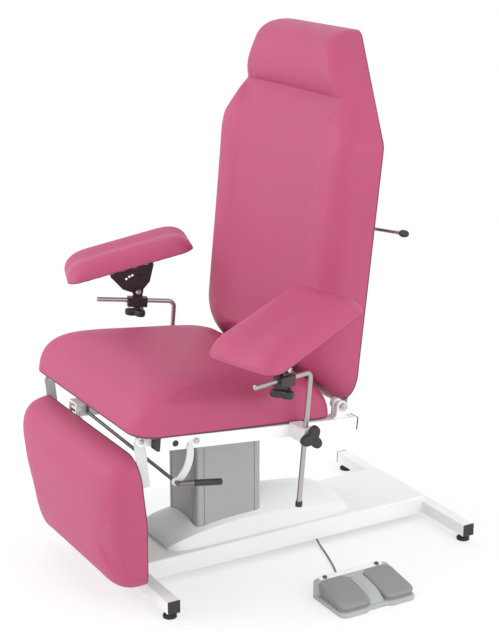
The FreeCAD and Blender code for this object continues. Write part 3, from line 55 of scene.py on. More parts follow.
nodes = frame["nodes"]
joints = {joint["name"]: joint for joint in frame["joints"]}
SIDES = ("left", "right")


def joint_point(name):
    """Where a joint turns, in metres."""
    return Vector(joints[name]["pos_m"])


# Frames of the padded groups, as the solid model has them
seat_pitch = math.radians(5.2)
back_recline = math.radians(5.9)
leg_lean = math.radians(6.05)
pad_pitch = math.radians(18.75)
post_swivels = {"left": math.radians(20.9), "right": math.radians(-17.4)}
pad_turns = {"left": math.radians(-1.5), "right": math.radians(-2.8)}
pad_shifts = {"left": (0.0097, 0.0101, 0.0), "right": (-0.0031, -0.0017, 0.0)}
base_middle = Vector((0.0052, 0.0651, 0.0))
seat_middle = base_middle + Vector((0.0, -0.150, 0.3834))
seat_place = Matrix.Translation(seat_middle) @ Matrix.Rotation(-seat_pitch, 4, "X")
back_place = Matrix.Translation(joint_point("back_recline")) @ Matrix.Rotation(-back_recline, 4, "X")
leg_place = Matrix.Translation(joint_point("leg_rest_raise")) @ Matrix.Rotation(leg_lean, 4, "X")


def arm_place(side):
    """Frame of an arm: Z along its post, -Y along its level rod, with its origin on the pad's tilt axis."""
    turn = Matrix.Rotation(-seat_pitch, 4, "X") @ Matrix.Rotation(post_swivels[side], 4, "Z")
    return Matrix.Translation(joint_point("pad_tilt_" + side)) @ turn


def pad_place(side):
    """Frame of an arm cushion, tilted up at the front and turned on its bracket."""
    tilt = Matrix.Rotation(pad_pitch, 4, "X")
    shift = Matrix.Translation(pad_shifts[side])
    return arm_place(side) @ tilt @ shift @ Matrix.Rotation(pad_turns[side], 4, "Z")


# Shader building
class Term:
    """A socket or a number in a shader tree. Sums on it add Math nodes."""

    def __init__(self, finish, value):
        self.finish = finish
        self.value = value

    def _math(self, operation, other):
        return self.finish.node("ShaderNodeMath", {"operation": operation}, {0: self, 1: other})

    def __add__(self, other):
        return self._math("ADD", other)

    def __sub__(self, other):
        return self._math("SUBTRACT", other)

    def __rsub__(self, other):
        return Term(self.finish, other)._math("SUBTRACT", self)

    def __mul__(self, other):
        return self._math("MULTIPLY", other)

    __radd__ = __add__
    __rmul__ = __mul__

    def limited(self):
        """Switches clamping on for the last sum."""
        self.value.node.use_clamp = True
        return self


class Finish:
    """A node material built from plain Python expressions."""

    def __init__(self, name):
        self.material = bpy.data.materials.new(name)
        self.material.use_nodes = True
        self.tree = self.material.node_tree
        self.principled = self.tree.nodes["Principled BSDF"]
        self.spot = self.node("ShaderNodeTexCoord", output="Object")

    def node(self, kind, settings=None, values=None, output=0):
        """Adds a node: settings first, then its sockets' values or links."""
        made = self.tree.nodes.new(kind)
        for key, value in (settings or {}).items():
            if key == "stops":
                while len(made.color_ramp.elements) < len(value):
                    made.color_ramp.elements.new(1.0)
                for element, (place, colour) in zip(made.color_ramp.elements, value):
                    element.position = place
                    element.color = colour
            else:
                setattr(made, key, value)
        for socket, value in (values or {}).items():
            self.connect(value, made.inputs[socket])
        return Term(self, made.outputs[output])

    def connect(self, value, socket):
        """Links a Term's socket or sets a number or colour."""
        if isinstance(value, Term):
            value = value.value
        if isinstance(value, bpy.types.NodeSocket):
            self.tree.links.new(value, socket)
        else:
            socket.default_value = value

    def noise(self, scale, detail=2.0, roughness=0.5, distortion=0.0, spot=None):
        """Soft noise on the piece's own coordinates, from about 0.25 to 0.75."""
        values = {"Vector": spot or self.spot, "Scale": scale, "Detail": detail, "Roughness": roughness,
                  "Distortion": distortion}
        return self.node("ShaderNodeTexNoise", None, values)

    def cells(self, scale):
        """Distance from the middles of Voronoi cells, as in grained covers."""
        values = {"Vector": self.spot, "Scale": scale}
        return self.node("ShaderNodeTexVoronoi", {"feature": "F1"}, values, "Distance")

    def stretched(self, *scale):
        """The piece's coordinates, scaled along each axis."""
        return self.node("ShaderNodeMapping", None, {"Vector": self.spot, "Scale": scale})

    def mixed(self, share, first, second):
        """A blend of two colours."""
        return self.node("ShaderNodeMix", {"data_type": "RGBA"}, {0: share, 6: first, 7: second}, 2)

    def shades(self, share, colour, spread):
        """A colour that runs from darker to lighter by the spread."""
        dark = [max(0.0, part * (1.0 - spread)) for part in colour[:3]] + [1.0]
        light = [min(1.0, part * (1.0 + spread)) for part in colour[:3]] + [1.0]
        return self.mixed(share, dark, light)

    def bump(self, height, strength, distance):
        """Relief from a height."""
        values = {"Height": height, "Strength": strength, "Distance": distance}
        return self.node("ShaderNodeBump", None, values, "Normal")

    def set(self, **values):
        """Sets the shader's sockets; underscores stand for spaces."""
        for key, value in values.items():
            self.connect(value, self.principled.inputs[key.replace("_", " ")])
        return self.material


def leatherette(name, colour):
    """Smooth upholstery vinyl: a fine pebble grain, slow tone changes and a soft gloss."""
    finish = Finish(name)
    slow = finish.noise(5.0, detail=3.0)
    grain = finish.cells(620.0)
    fine = finish.noise(1500.0)
    return finish.set(
        Base_Color=finish.shades((slow * 0.8 + fine * 0.2).limited(), colour, spread=0.05),
        Roughness=0.44 + slow * 0.10 + fine * 0.06,
        Normal=finish.bump(grain * 0.7 + fine * 0.3, strength=0.22, distance=0.0004),
        Specular_IOR_Level=0.34,
    )


def powder_coat(name, colour, roughness=0.36):
    """Sprayed powder on steel: an orange-peel skin and a faint mottle."""
    finish = Finish(name)
    peel = finish.noise(520.0, roughness=0.4)
    mottle = finish.noise(9.0, detail=3.0)
    return finish.set(
        Base_Color=finish.shades(mottle, colour, spread=0.018),
        Roughness=roughness + peel * 0.08,
        Normal=finish.bump(peel, strength=0.12, distance=0.0006),
        Specular_IOR_Level=0.5,
    )


def anodised(name, colour):
    """Satin anodised profile with the faint draw lines of its die along Z."""
    finish = Finish(name)
    lines = finish.noise(1.0, detail=3.0, roughness=0.6, spot=finish.stretched(420.0, 420.0, 1.5))
    mottle = finish.noise(14.0)
    return finish.set(
        Base_Color=finish.shades((lines * 0.7 + mottle * 0.3).limited(), colour, spread=0.06),
        Metallic=0.55,
        Roughness=0.44 + lines * 0.12,
        Normal=finish.bump(lines, strength=0.10, distance=0.0003),
    )


def satin_steel(name, colour, roughness=0.26):
    """Ground and lightly polished steel with fine grinding marks."""
    finish = Finish(name)
    marks = finish.noise(1.0, roughness=0.6, spot=finish.stretched(600.0, 600.0, 600.0))
    mottle = finish.noise(30.0)
    return finish.set(
        Base_Color=finish.shades((marks * 0.6 + mottle * 0.4).limited(), colour, spread=0.10),
        Metallic=1.0,
        Roughness=roughness + marks * 0.12,
        Normal=finish.bump(marks, strength=0.08, distance=0.0002),
    )


def moulded(name, colour, roughness, scale=900.0, depth=0.0003, strength=0.2):
    """Moulded plastic or rubber with the fine spark-eroded texture of its mould."""
    finish = Finish(name)
    texture = finish.noise(scale, roughness=0.6)
    mottle = finish.noise(18.0, detail=3.0)
    return finish.set(
        Base_Color=finish.shades(mottle, colour, spread=0.05),
        Roughness=roughness + texture * 0.10,
        Normal=finish.bump(texture, strength, depth),
    )


def plywood(name):
    """Birch plywood: long grain on the faces and fine pores."""
    finish = Finish(name)
    grain = finish.noise(1.0, 5.0, 0.6, 0.6, finish.stretched(60.0, 6.0, 6.0))
    pores = finish.noise(1.0, roughness=0.6, spot=finish.stretched(900.0, 60.0, 60.0))
    stops = ((0.30, (0.50, 0.34, 0.19, 1.0)), (0.55, (0.62, 0.45, 0.28, 1.0)),
             (0.75, (0.70, 0.54, 0.36, 1.0)))
    return finish.set(
        Base_Color=finish.node("ShaderNodeValToRGB", {"stops": stops}, {"Fac": grain}),
        Roughness=0.55 + pores * 0.15,
        Normal=finish.bump(grain * 0.5 + pores * 0.5, strength=0.15, distance=0.0004),
    )


def lining(name, colour):
    """Black non-woven lining stapled over a board."""
    finish = Finish(name)
    weave = finish.noise(700.0, 3.0, 0.7, 0.4)
    cloud = finish.noise(24.0, detail=3.0)
    return finish.set(
        Base_Color=finish.shades((weave * 0.5 + cloud * 0.5).limited(), colour, spread=0.30),
        Roughness=0.92,
        Normal=finish.bump(weave, strength=0.35, distance=0.0006),
        Sheen_Weight=0.15,
    )


# Mesh helpers
def linked(name, data):
    """An object of the scene that holds some data."""
    holder = bpy.data.objects.new(name, data)
    bpy.context.scene.collection.objects.link(holder)
    return holder


def new_piece(name, bm, crease, finish, body, replaced=()):
    """Makes a piece of a bmesh, with its finish and its body, and hides the nodes that it stands for."""
    piece = linked(name, smooth_mesh(name, bm, crease))
    piece.data.materials.append(finish_of(finish))
    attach(piece, body)
    if replaced:
        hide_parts(*replaced)


def smooth_mesh(name, bm, crease):
    """A mesh with smooth shading from a bmesh, with edges kept sharp past a crease angle in degrees."""
    bmesh.ops.recalc_face_normals(bm, faces=bm.faces)
    mesh = bpy.data.meshes.new(name)
    for face in bm.faces:
        face.smooth = True
    for edge in bm.edges:
        if len(edge.link_faces) == 2 and edge.calc_face_angle(0.0) > math.radians(crease):
            edge.smooth = False
    bm.to_mesh(mesh)
    bm.free()
    return mesh


def baked(piece):
    """The evaluated mesh of an object with its modifiers, as plain data."""
    bpy.context.view_layer.update()
    graph = bpy.context.evaluated_depsgraph_get()
    mesh = bpy.data.meshes.new_from_object(piece.evaluated_get(graph), depsgraph=graph)
    mesh.name = piece.name
    return mesh


def applied(piece):
    """Turns an object's modifiers into plain mesh."""
    mesh = baked(piece)
    piece.modifiers.clear()
    old = piece.data
    piece.data = mesh
    bpy.data.meshes.remove(old)


def band(bm, low, high):
    """Faces between two rings of vertices."""
    count = len(low)
    return [bm.faces.new((low[k], low[(k + 1) % count], high[(k + 1) % count], high[k]))
            for k in range(count)]


def lofted(bm, rings):
    """A shell through rings of points of one count, with both end rings filled."""
    rows = [[bm.verts.new(point) for point in ring] for ring in rings]
    for low, high in zip(rows, rows[1:]):
        band(bm, low, high)
    bm.faces.new(rows[0][::-1])
    bm.faces.new(rows[-1])


def ring_about(frame_of, radius, rise, count):
    """A ring of points about a frame's Z. The radius is a number, or a function of the angle."""
    ring = []
    for k in range(count):
        angle = 2 * math.pi * k / count
        size = radius(angle) if callable(radius) else radius
        ring.append(frame_of @ Vector((size * math.cos(angle), size * math.sin(angle), rise)))
    return ring


def rounded_outline(half_x, half_y, corner, count=6):
    """A rectangle with round corners, as points round its middle."""
    points = []
    for turn, (way_x, way_y) in enumerate(((1, -1), (1, 1), (-1, 1), (-1, -1))):
        for k in range(count + 1):
            angle = math.radians(-90 + 90 * turn + 90 * k / count)
            points.append((way_x * (half_x - corner) + corner * math.cos(angle),
                           way_y * (half_y - corner) + corner * math.sin(angle)))
    return points


def slab(bm, ring_at, steps, to_frame):
    """A shell from a low step to a high one. A step is (draw-in, height)."""
    lofted(bm, [[to_frame(x, y, height) for x, y in ring_at(draw)] for draw, height in steps])


def end_along(name, point, way, reach):
    """Where the solid of a node ends along a direction, near a line through a point."""
    way = way.normalized()
    best = None
    place = nodes[name].matrix_world
    for vertex in nodes[name].data.vertices:
        away = place @ vertex.co - point
        rise = away.dot(way)
        if (away - way * rise).length < reach and (best is None or rise > best):
            best = rise
    return point + way * best


def scattered(name, spots, shape, finish, body):
    """Copies one small shape to many places with Geometry Nodes, and keeps the plain mesh.

    spots holds pairs of a place and a turn, which sends the shape's Z along the face's normal.
    """
    cloud = bpy.data.meshes.new(name)
    cloud.from_pydata([place for place, _ in spots], [], [])
    turns = cloud.attributes.new("turn", "QUATERNION", "POINT")
    for item, (_, turn) in zip(turns.data, spots):
        item.value = turn
    pattern = linked(name + "_pattern", shape)
    piece = linked(name, cloud)

    tree = bpy.data.node_groups.new(name, "GeometryNodeTree")
    inputs = {}
    for label, kind in (("Geometry", "Geometry"), ("Pattern", "Object"), ("Scale", "Float"),
                        ("Finish", "Material")):
        inputs[label] = tree.interface.new_socket(label, in_out="INPUT", socket_type="NodeSocket" + kind)
    tree.interface.new_socket("Geometry", in_out="OUTPUT", socket_type="NodeSocketGeometry")
    start, info, turned, copies, solid, painted, end = (tree.nodes.new(kind) for kind in (
        "NodeGroupInput", "GeometryNodeObjectInfo", "GeometryNodeInputNamedAttribute",
        "GeometryNodeInstanceOnPoints", "GeometryNodeRealizeInstances", "GeometryNodeSetMaterial",
        "NodeGroupOutput"))
    info.inputs["As Instance"].default_value = True
    turned.data_type = "QUATERNION"
    turned.inputs["Name"].default_value = "turn"
    for source, out, target, into in (
        (start, "Geometry", copies, "Points"), (start, "Pattern", info, "Object"),
        (info, "Geometry", copies, "Instance"), (turned, "Attribute", copies, "Rotation"),
        (start, "Scale", copies, "Scale"), (copies, "Instances", solid, "Geometry"),
        (solid, "Geometry", painted, "Geometry"), (start, "Finish", painted, "Material"),
        (painted, "Geometry", end, "Geometry"),
    ):
        tree.links.new(source.outputs[out], target.inputs[into])
    modifier = piece.modifiers.new("copies", "NODES")
    modifier.node_group = tree
    for label, value in (("Pattern", pattern), ("Scale", 1.0), ("Finish", finish_of(finish))):
        modifier[inputs[label].identifier] = value
    applied(piece)
    bpy.data.objects.remove(pattern)
    bpy.data.meshes.remove(shape)
    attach(piece, body)


def facing(normal, along=None):
    """A turn that sends Z along the normal, and X as near as it can to a second direction."""
    normal = normal.normalized()
    if along is None:
        return normal.to_track_quat("Z", "Y")
    side = (along - normal * along.dot(normal)).normalized()
    return Matrix((side, normal.cross(side), normal)).transposed().to_quaternion()


# Rings of a button head: radius and rise as shares of its own radius, and flat sides, or 0 where it is round
HEAD_RINGS = ((1.0, -0.15, 0), (1.0, 0.16, 0), (0.86, 0.44, 0), (0.60, 0.60, 0), (0.42, 0.60, 6),
              (0.40, 0.16, 6))
HEAD_POINTS = 12
HEAD_CREASE = 32
STAPLE_CREASE = 40


def socket_head(radius):
    """A button head with a hex socket, standing on its origin along Z."""
    bm = bmesh.new()
    rings = []
    for share, rise, sides in HEAD_RINGS:
        ring = []
        for k in range(HEAD_POINTS):
            angle = 2 * math.pi * k / HEAD_POINTS
            draw = 1.0
            if sides:
                turn = math.pi / sides
                draw = math.cos(turn) / math.cos((angle + turn) % (2 * turn) - turn)
            ring.append((radius * share * draw * math.cos(angle), radius * share * draw * math.sin(angle),
                         radius * rise))
        rings.append(ring)
    lofted(bm, rings)
    return smooth_mesh("socket_head", bm, HEAD_CREASE)


def staple_crown(length, wire):
    """The crown of a staple with its bent ends, lying along X."""
    bm = bmesh.new()
    end, half, low, high = length / 2, wire / 2, wire * 0.3, wire * 0.7
    path = ((-end, -wire), (-end, low), (-end + half, high), (end - half, high), (end, low), (end, -wire))
    side = Vector((0.0, half, 0.0))
    rings = []
    for k, (x, z) in enumerate(path):
        before = path[max(0, k - 1)]
        after = path[min(len(path) - 1, k + 1)]
        way = Vector((after[0] - before[0], 0.0, after[1] - before[1])).normalized()
        out = Vector((-way.z, 0.0, way.x)) * half
        spot = Vector((x, 0.0, z))
        rings.append([spot + out + side, spot - out + side, spot - out - side, spot + out - side])
    lofted(bm, rings)
    return smooth_mesh("staple", bm, STAPLE_CREASE)


# Outlines in a flat frame
STRAIGHT = 1e-12  # Below this, three points lie on one line


def line_points(start, end, count):
    """Points after start on the line to end."""
    return [(start[0] + (end[0] - start[0]) * k / count, start[1] + (end[1] - start[1]) * k / count)
            for k in range(1, count + 1)]


def arc_points(start, middle, end, count):
    """Points after start on the arc through three points."""
    (ax, ay), (bx, by), (cx, cy) = start, middle, end
    d = 2 * (ax * (by - cy) + bx * (cy - ay) + cx * (ay - by))
    if abs(d) < STRAIGHT:
        return line_points(start, end, count)
    a, b, c = (x ** 2 + y ** 2 for x, y in (start, middle, end))
    ux = (a * (by - cy) + b * (cy - ay) + c * (ay - by)) / d
    uy = (a * (cx - bx) + b * (ax - cx) + c * (bx - ax)) / d
    radius = math.hypot(ax - ux, ay - uy)
    first, via, last = (math.atan2(y - uy, x - ux) for x, y in (start, middle, end))
    turn = (last - first) % (2 * math.pi)
    if (via - first) % (2 * math.pi) > turn:
        turn -= 2 * math.pi
    angles = [first + turn * k / count for k in range(1, count + 1)]
    return [(ux + radius * math.cos(angle), uy + radius * math.sin(angle)) for angle in angles]


def quarter_middle(start, end, way):
    """Middle point of a quarter turn that sets off along X or along Y."""
    bulge = 1 - math.sqrt(0.5)
    span_x = end[0] - start[0]
    span_y = end[1] - start[1]
    if way == "x first":
        return (end[0] - span_x * bulge, start[1] + span_y * bulge)
    return (start[0] + span_x * bulge, end[1] - span_y * bulge)


def traced(start, steps):
    """Points of a right half outline. A step is (count, end) for a line, (count, middle, end) for an arc."""
    points = [start]
    for count, *middle, end in steps:
        if middle:
            points += arc_points(points[-1], middle[0], end, count)
        else:
            points += line_points(points[-1], end, count)
    return points


def whole_ring(half):
    """A closed ring from its right half, which runs from the middle of the low edge to that of the high."""
    return half + [(-x, y) for x, y in reversed(half[1:-1])]


def cornered_half(low, high, counts, between=()):
    """Right half of an outline with round corners.

    low and high give the half width, place and corner radius of the two edges. counts is how many points an
    edge, a corner and the side get, and between holds further steps of the side.
    """
    low_half, low_end, low_corner = low
    high_half, high_end, high_corner = high
    edge, corner, side = counts
    start = (low_half - low_corner, low_end)
    turn = (low_half, low_end + low_corner)
    out = (high_half, high_end - high_corner)
    end = (high_half - high_corner, high_end)
    return traced((0.0, low_end), (
        (edge, start), (corner, quarter_middle(start, turn, "x first"), turn), *between, (side, out),
        (corner, quarter_middle(out, end, "y first"), end), (edge, (0.0, high_end)),
    ))


POCKET = 0.0122  # Depth of the hollow under a form, inside its rim
EDGE_STRIP = 0.03  # Height of the edge strip, as a share of the form's
EDGE_ROWS = 3  # Bands with the dark rim finish, painted shade along the cover's edge: the hollow's wall, the rim and the strip
RISE_POWER = 0.75  # How evenly the rings climb
HOLD_FADE = 1.4  # How soon the board's hold on the cover fades with the height
PADDING_CREASE = 62


class Padding:
    """A padded form: rings rise from the rim of its board, turn over and meet a top with its own relief.

    half_at(low_in, high_in, side_in) gives the right half outline. insets is the full draw-in at the low
    end, the high end and the sides, and powers how round each of them turns over. top_at(x, y) is the height
    of the top. corner is the place in the half outline where the low edge turns into the side.
    """

    def __init__(self, half_at, insets, powers, top_at, corner, levels=14, rim=0.014):
        self.half_at = half_at
        self.insets = insets
        self.powers = powers
        self.top_at = top_at
        self.corner = corner
        self.levels = levels
        self.rim = rim

    def ring_at(self, rise):
        """The outline at a share of the height."""
        drawn = [inset * (1.0 - max(0.0, 1.0 - rise ** power) ** (1.0 / power))
                 for inset, power in zip(self.insets, self.powers)]
        return whole_ring(self.half_at(*drawn))

    def build(self, name, to_frame):
        """The closed mesh. to_frame turns (x, y, height) into a point."""
        bm = bmesh.new()
        pin = bm.verts.layers.deform.verify()

        def row(points, heights, weight):
            made_row = []
            for (x, y), height in zip(points, heights):
                vertex = bm.verts.new(to_frame(x, y, height))
                vertex[pin][0] = weight
                made_row.append(vertex)
            return made_row

        rim_ring = whole_ring(self.half_at(self.rim, self.rim, self.rim))
        rows = [row(rim_ring, [height] * len(rim_ring), 1.0) for height in (POCKET, 0.0)]
        for level in range(-1, self.levels + 1):
            rise = EDGE_STRIP * (level + 1)
            if level > 0:
                rise = math.sin(math.pi / 2 * level / self.levels) ** RISE_POWER
            points = self.ring_at(rise)
            weight = max(0.0, 1.0 - rise * HOLD_FADE)
            rows.append(row(points, [rise * self.top_at(x, y) for x, y in points], weight))
        # The lowest bands take the dark rim finish, a painted shade line along the cover's edge
        for step, (low, high) in enumerate(zip(rows, rows[1:])):
            for face in band(bm, low, high):
                face.material_index = 1 if step < EDGE_ROWS else 0
        self.cap(bm, rows[0], rim_ring, lambda x, y: POCKET, 1.0, row)
        self.cap(bm, rows[-1], self.ring_at(1.0), self.top_at, 0.0, row)
        return smooth_mesh(name, bm, PADDING_CREASE)

    def cap(self, bm, ring, points, height_at, weight, row):
        """Fills a ring with a grid between its four sides."""
        count = len(ring)
        wide = self.corner * 2
        tall = count // 2 - wide
        first = count - self.corner
        at = [(first + k) % count for k in range(count)]
        flat = numpy.array([points[k] for k in at])
        verts = [ring[k] for k in at]
        low = flat[:wide + 1]
        right = flat[wide:wide + tall + 1]
        high = flat[wide + tall:wide * 2 + tall + 1][::-1]
        left = numpy.vstack((flat[wide * 2 + tall:], flat[:1]))[::-1]
        grid = [[None] * (wide + 1) for _ in range(tall + 1)]
        for k in range(wide + 1):
            grid[0][k] = verts[k]
            grid[tall][k] = verts[wide * 2 + tall - k]
        for k in range(tall + 1):
            grid[k][wide] = verts[wide + k]
            grid[k][0] = verts[(wide * 2 + tall * 2 - k) % count]
        for i in range(1, tall):
            v = i / tall
            inner = []
            for j in range(1, wide):
                u = j / wide
                place = ((1 - v) * low[j] + v * high[j] + (1 - u) * left[i] + u * right[i]
                         - (1 - u) * (1 - v) * low[0] - u * (1 - v) * low[-1]
                         - (1 - u) * v * high[0] - u * v * high[-1])
                inner.append((float(place[0]), float(place[1])))
            for j, vertex in enumerate(row(inner, [height_at(x, y) for x, y in inner], weight), 1):
                grid[i][j] = vertex
        for i in range(tall):
            for j in range(wide):
                bm.faces.new((grid[i][j], grid[i][j + 1], grid[i + 1][j + 1], grid[i + 1][j]))


CLOTH_SETTINGS = {"quality": 5, "mass": 0.4, "tension_stiffness": 20.0, "compression_stiffness": 20.0,
                  "bending_stiffness": 3.0, "use_pressure": True, "uniform_pressure_force": 1.5}
CLOTH_STEPS = 14
STILL = 1e-9  # The least length that a move is divided by


def softened(piece, cap):
    """Blows the cover up a little with cloth, and keeps each point within a cap of where it was."""
    group = piece.vertex_groups.new(name="held")
    start = numpy.array([vertex.co for vertex in piece.data.vertices])
    weights = {}
    for vertex in piece.data.vertices:
        weights.setdefault(round(held_share(vertex), 2), []).append(vertex.index)
    for share, indices in weights.items():
        group.add(indices, share, "REPLACE")
    cloth = piece.modifiers.new("cover", "CLOTH")
    for key, value in CLOTH_SETTINGS.items():
        setattr(cloth.settings, key, value)
    cloth.settings.effector_weights.gravity = 0.0
    cloth.settings.vertex_group_mass = group.name
    cloth.point_cache.frame_start = 1
    cloth.point_cache.frame_end = CLOTH_STEPS
    scene = bpy.context.scene
    for step in range(1, CLOTH_STEPS + 1):
        scene.frame_set(step)
    mesh = baked(piece)
    moved = numpy.array([vertex.co for vertex in mesh.vertices]) - start
    length = numpy.linalg.norm(moved, axis=1)
    keep = numpy.minimum(1.0, cap / numpy.maximum(length, STILL))
    held = numpy.array([held_share(vertex) for vertex in piece.data.vertices])
    final = start + moved * (keep * (1.0 - held))[:, None]
    piece.modifiers.clear()
    for vertex, place in zip(piece.data.vertices, final):
        vertex.co = place
    bpy.data.meshes.remove(mesh)
    scene.frame_set(1)


def held_share(vertex):
    """How firmly a vertex is held, from the weight that its row was given."""
    return vertex.groups[0].weight if vertex.groups else 0.0


# Sizes of the padded forms, in metres
SEAT = {
    "front": 0.350, "rear": 0.168, "front_half": 0.290, "rear_half": 0.277, "corner": 0.050, "height": 0.105,
    "base": 0.030, "crown": 0.006, "crown_half": 0.24, "crown_middle": -0.09, "crown_reach": 0.26,
}
BACK = {
    "plane": 0.0308, "bottom": -0.008, "low_half": 0.196, "bulge": 0.263, "bulge_rise": 0.024,
    "side_start": 0.088, "side_half": 0.289, "side_end": 0.594, "top_half": 0.2935, "bend_half": 0.2915,
    "bend": 0.6065, "shoulder_half": 0.286, "shoulder": 0.618, "crease": 0.6985, "crease_half": 0.2395,
    "head_top_half": 0.168, "head_top": 0.826, "head_corner_half": 0.158, "head_corner": 0.8405,
    "head_end_half": 0.137, "head_end": 0.847,
    "thickness": 0.106, "roll_rise": 0.768, "roll": 0.097, "roll_depth": 0.064, "roll_radius": 0.080,
    "recede_start": 0.560, "recede": 0.028, "recede_power": 1.6, "panel_depth": 0.015, "panel_start": 0.02,
    "panel_full": 0.16, "flare": 0.055, "bulge_draw": 0.9, "side_draw": 0.75,
}
BACK_PANEL = (0.158, 0.006)  # Half width of the flat panel, and how much wider it gets at the crease
BACK_RIDGE = (0.205, 0.040)  # The same where the ridges reach their full height
LEG = {
    "plane": -0.0151, "top": -0.0342, "bottom": -0.366, "half": 0.270, "low_half": 0.240, "top_corner": 0.055,
    "low_corner": 0.044, "bulge_rise": -0.190, "height": 0.086, "crown": 0.005, "crown_half": 0.23,
    "crown_middle": -0.20, "crown_reach": 0.15,
}
PAD = {
    "seat": 0.0863, "length": 0.163, "half": 0.100, "corner": 0.036, "flat": 0.012, "height": 0.041,
    "board": 0.016, "gutter": 0.009, "gutter_half": 0.034, "fade": 0.25, "fade_start": 0.08, "fade_end": 0.15,
}
CROWN_DIP = 0.003
CROWN_POWER = 2.4
CORNER_GROWTH = 4  # A corner's radius grows by the draw-in over this


def seat_half(low_in, high_in, side_in):
    """Right half of the seat's outline."""
    corner = SEAT["corner"]
    return cornered_half(
        (SEAT["front_half"] - side_in, low_in - SEAT["front"], corner + min(low_in, side_in) / CORNER_GROWTH),
        (SEAT["rear_half"] - side_in, SEAT["rear"] - high_in, corner + min(high_in, side_in) / CORNER_GROWTH),
        (18, 8, 34))


def crowned(form, x, y):
    """Height of a form's top: a low crown that flattens out to the sides and the ends."""
    across = min(1.0, abs(x) / form["crown_half"])
    along = min(1.0, abs(y - form["crown_middle"]) / form["crown_reach"])
    crown = form["crown"] * (1.0 - across ** CROWN_POWER) * (1.0 - along ** CROWN_POWER)
    return form["height"] - CROWN_DIP + crown


def seat_top(x, y):
    """Height of the seat's top."""
    return crowned(SEAT, x, y)


def back_half(low_in, high_in, side_in):
    """Right half of the outline of the back with its head roll."""
    low = BACK["bottom"] + low_in
    drop = high_in / (BACK["head_end"] - BACK["crease"])
    start = (BACK["low_half"] - side_in, low)
    bulge = (BACK["bulge"] - side_in, BACK["bottom"] + BACK["bulge_rise"] + low_in * BACK["bulge_draw"])
    turn = (BACK["side_half"] - side_in, BACK["side_start"] + low_in * BACK["side_draw"])
    side = (BACK["top_half"] - side_in, BACK["side_end"])
    bend = (BACK["bend_half"] - side_in, BACK["bend"])
    shoulder = (BACK["shoulder_half"] - side_in, BACK["shoulder"])
    crease = (BACK["crease_half"] - side_in, BACK["crease"])

    def upper(key):
        """A point of the head, drawn down along the taper as the top edge comes in."""
        half, rise = BACK[key + "_half"], BACK[key]
        return (half + (BACK["crease_half"] - half) * drop - side_in, rise + (BACK["crease"] - rise) * drop)

    end = upper("head_end")
    return traced((0.0, low), (
        (12, start), (16, bulge, turn), (50, side), (6, bend, shoulder), (14, crease),
        (22, upper("head_top")), (6, upper("head_corner"), end), (14, (0.0, end[1])),
    ))


def eased(value, low, high):
    """A smooth step from 0 at low to 1 at high."""
    share = min(1.0, max(0.0, (value - low) / (high - low)))
    return share * share * (3.0 - 2.0 * share)


def back_top(x, z):
    """Depth of the back's face: side ridges round a flat panel, then a crease and the round head roll."""
    crease = BACK["crease"]
    wider = math.exp(-((z - crease) / BACK["flare"]) ** 2)
    window = 1.0 - eased(abs(x), *(half + growth * wider for half, growth in (BACK_PANEL, BACK_RIDGE)))
    if z < crease:
        climb = max(0.0, (z - BACK["recede_start"]) / (crease - BACK["recede_start"]))
        back_off = BACK["recede"] * climb ** BACK["recede_power"]
        panel = window * BACK["panel_depth"] * eased(z, BACK["panel_start"], BACK["panel_full"])
        return BACK["thickness"] - back_off - panel
    up = min(0.0, z - BACK["roll_rise"])
    roll = BACK["roll"] + BACK["roll_depth"] * (math.sqrt(1.0 - (up / BACK["roll_radius"]) ** 2) - 1.0)
    step = BACK["roll"] - BACK["thickness"] + BACK["recede"]
    bolster = BACK["roll"] - step * (up / (BACK["roll_rise"] - crease)) ** 2
    return bolster + (roll - bolster) * window


def leg_half(low_in, high_in, side_in):
    """Right half of the leg rest's outline."""
    wide = LEG["half"] - side_in
    return cornered_half(
        (LEG["low_half"] - side_in, LEG["bottom"] + low_in, LEG["low_corner"] + low_in / CORNER_GROWTH),
        (wide, LEG["top"] - high_in, LEG["top_corner"] + high_in / CORNER_GROWTH),
        (16, 8, 12), ((14, (wide, LEG["bulge_rise"])),))


def leg_top(x, z):
    """Depth of the leg rest's face."""
    return crowned(LEG, x, z)


def pad_half(low_in, high_in, side_in):
    """Right half of an arm pad's outline."""
    wide = PAD["half"] - side_in
    corner = min(PAD["corner"], wide - PAD["flat"])
    return cornered_half(
        (wide, low_in - PAD["length"], corner), (wide, PAD["length"] - high_in, corner), (6, 12, 30))


def pad_top(x, y):
    """Height of an arm pad's top with the shallow gutter for the arm."""
    gutter = PAD["gutter"] * math.exp(-(x / PAD["gutter_half"]) ** 2)
    fade = 1.0 - PAD["fade"] * eased(abs(y), PAD["fade_start"], PAD["fade_end"])
    return PAD["height"] - gutter * fade


def in_seat(x, y, height):
    """A point of the seat's padding."""
    return seat_place @ Vector((x, y, SEAT["base"] + height))


def in_back(x, z, height):
    """A point of the back's padding."""
    return back_place @ Vector((x, BACK["plane"] - height, z))


def in_leg(x, z, height):
    """A point of the leg rest's padding."""
    return leg_place @ Vector((x, LEG["plane"] - height, z))


def in_pad(side):
    """A function that gives a point of one arm pad's padding."""
    place = pad_place(side)
    return lambda x, y, height: place @ Vector((x, y, PAD["seat"] + height))


COLOUR = {"subtype": "COLOR", "size": 4, "min": 0.0, "max": 1.0}
LENGTH = {"subtype": "DISTANCE", "unit": "LENGTH"}


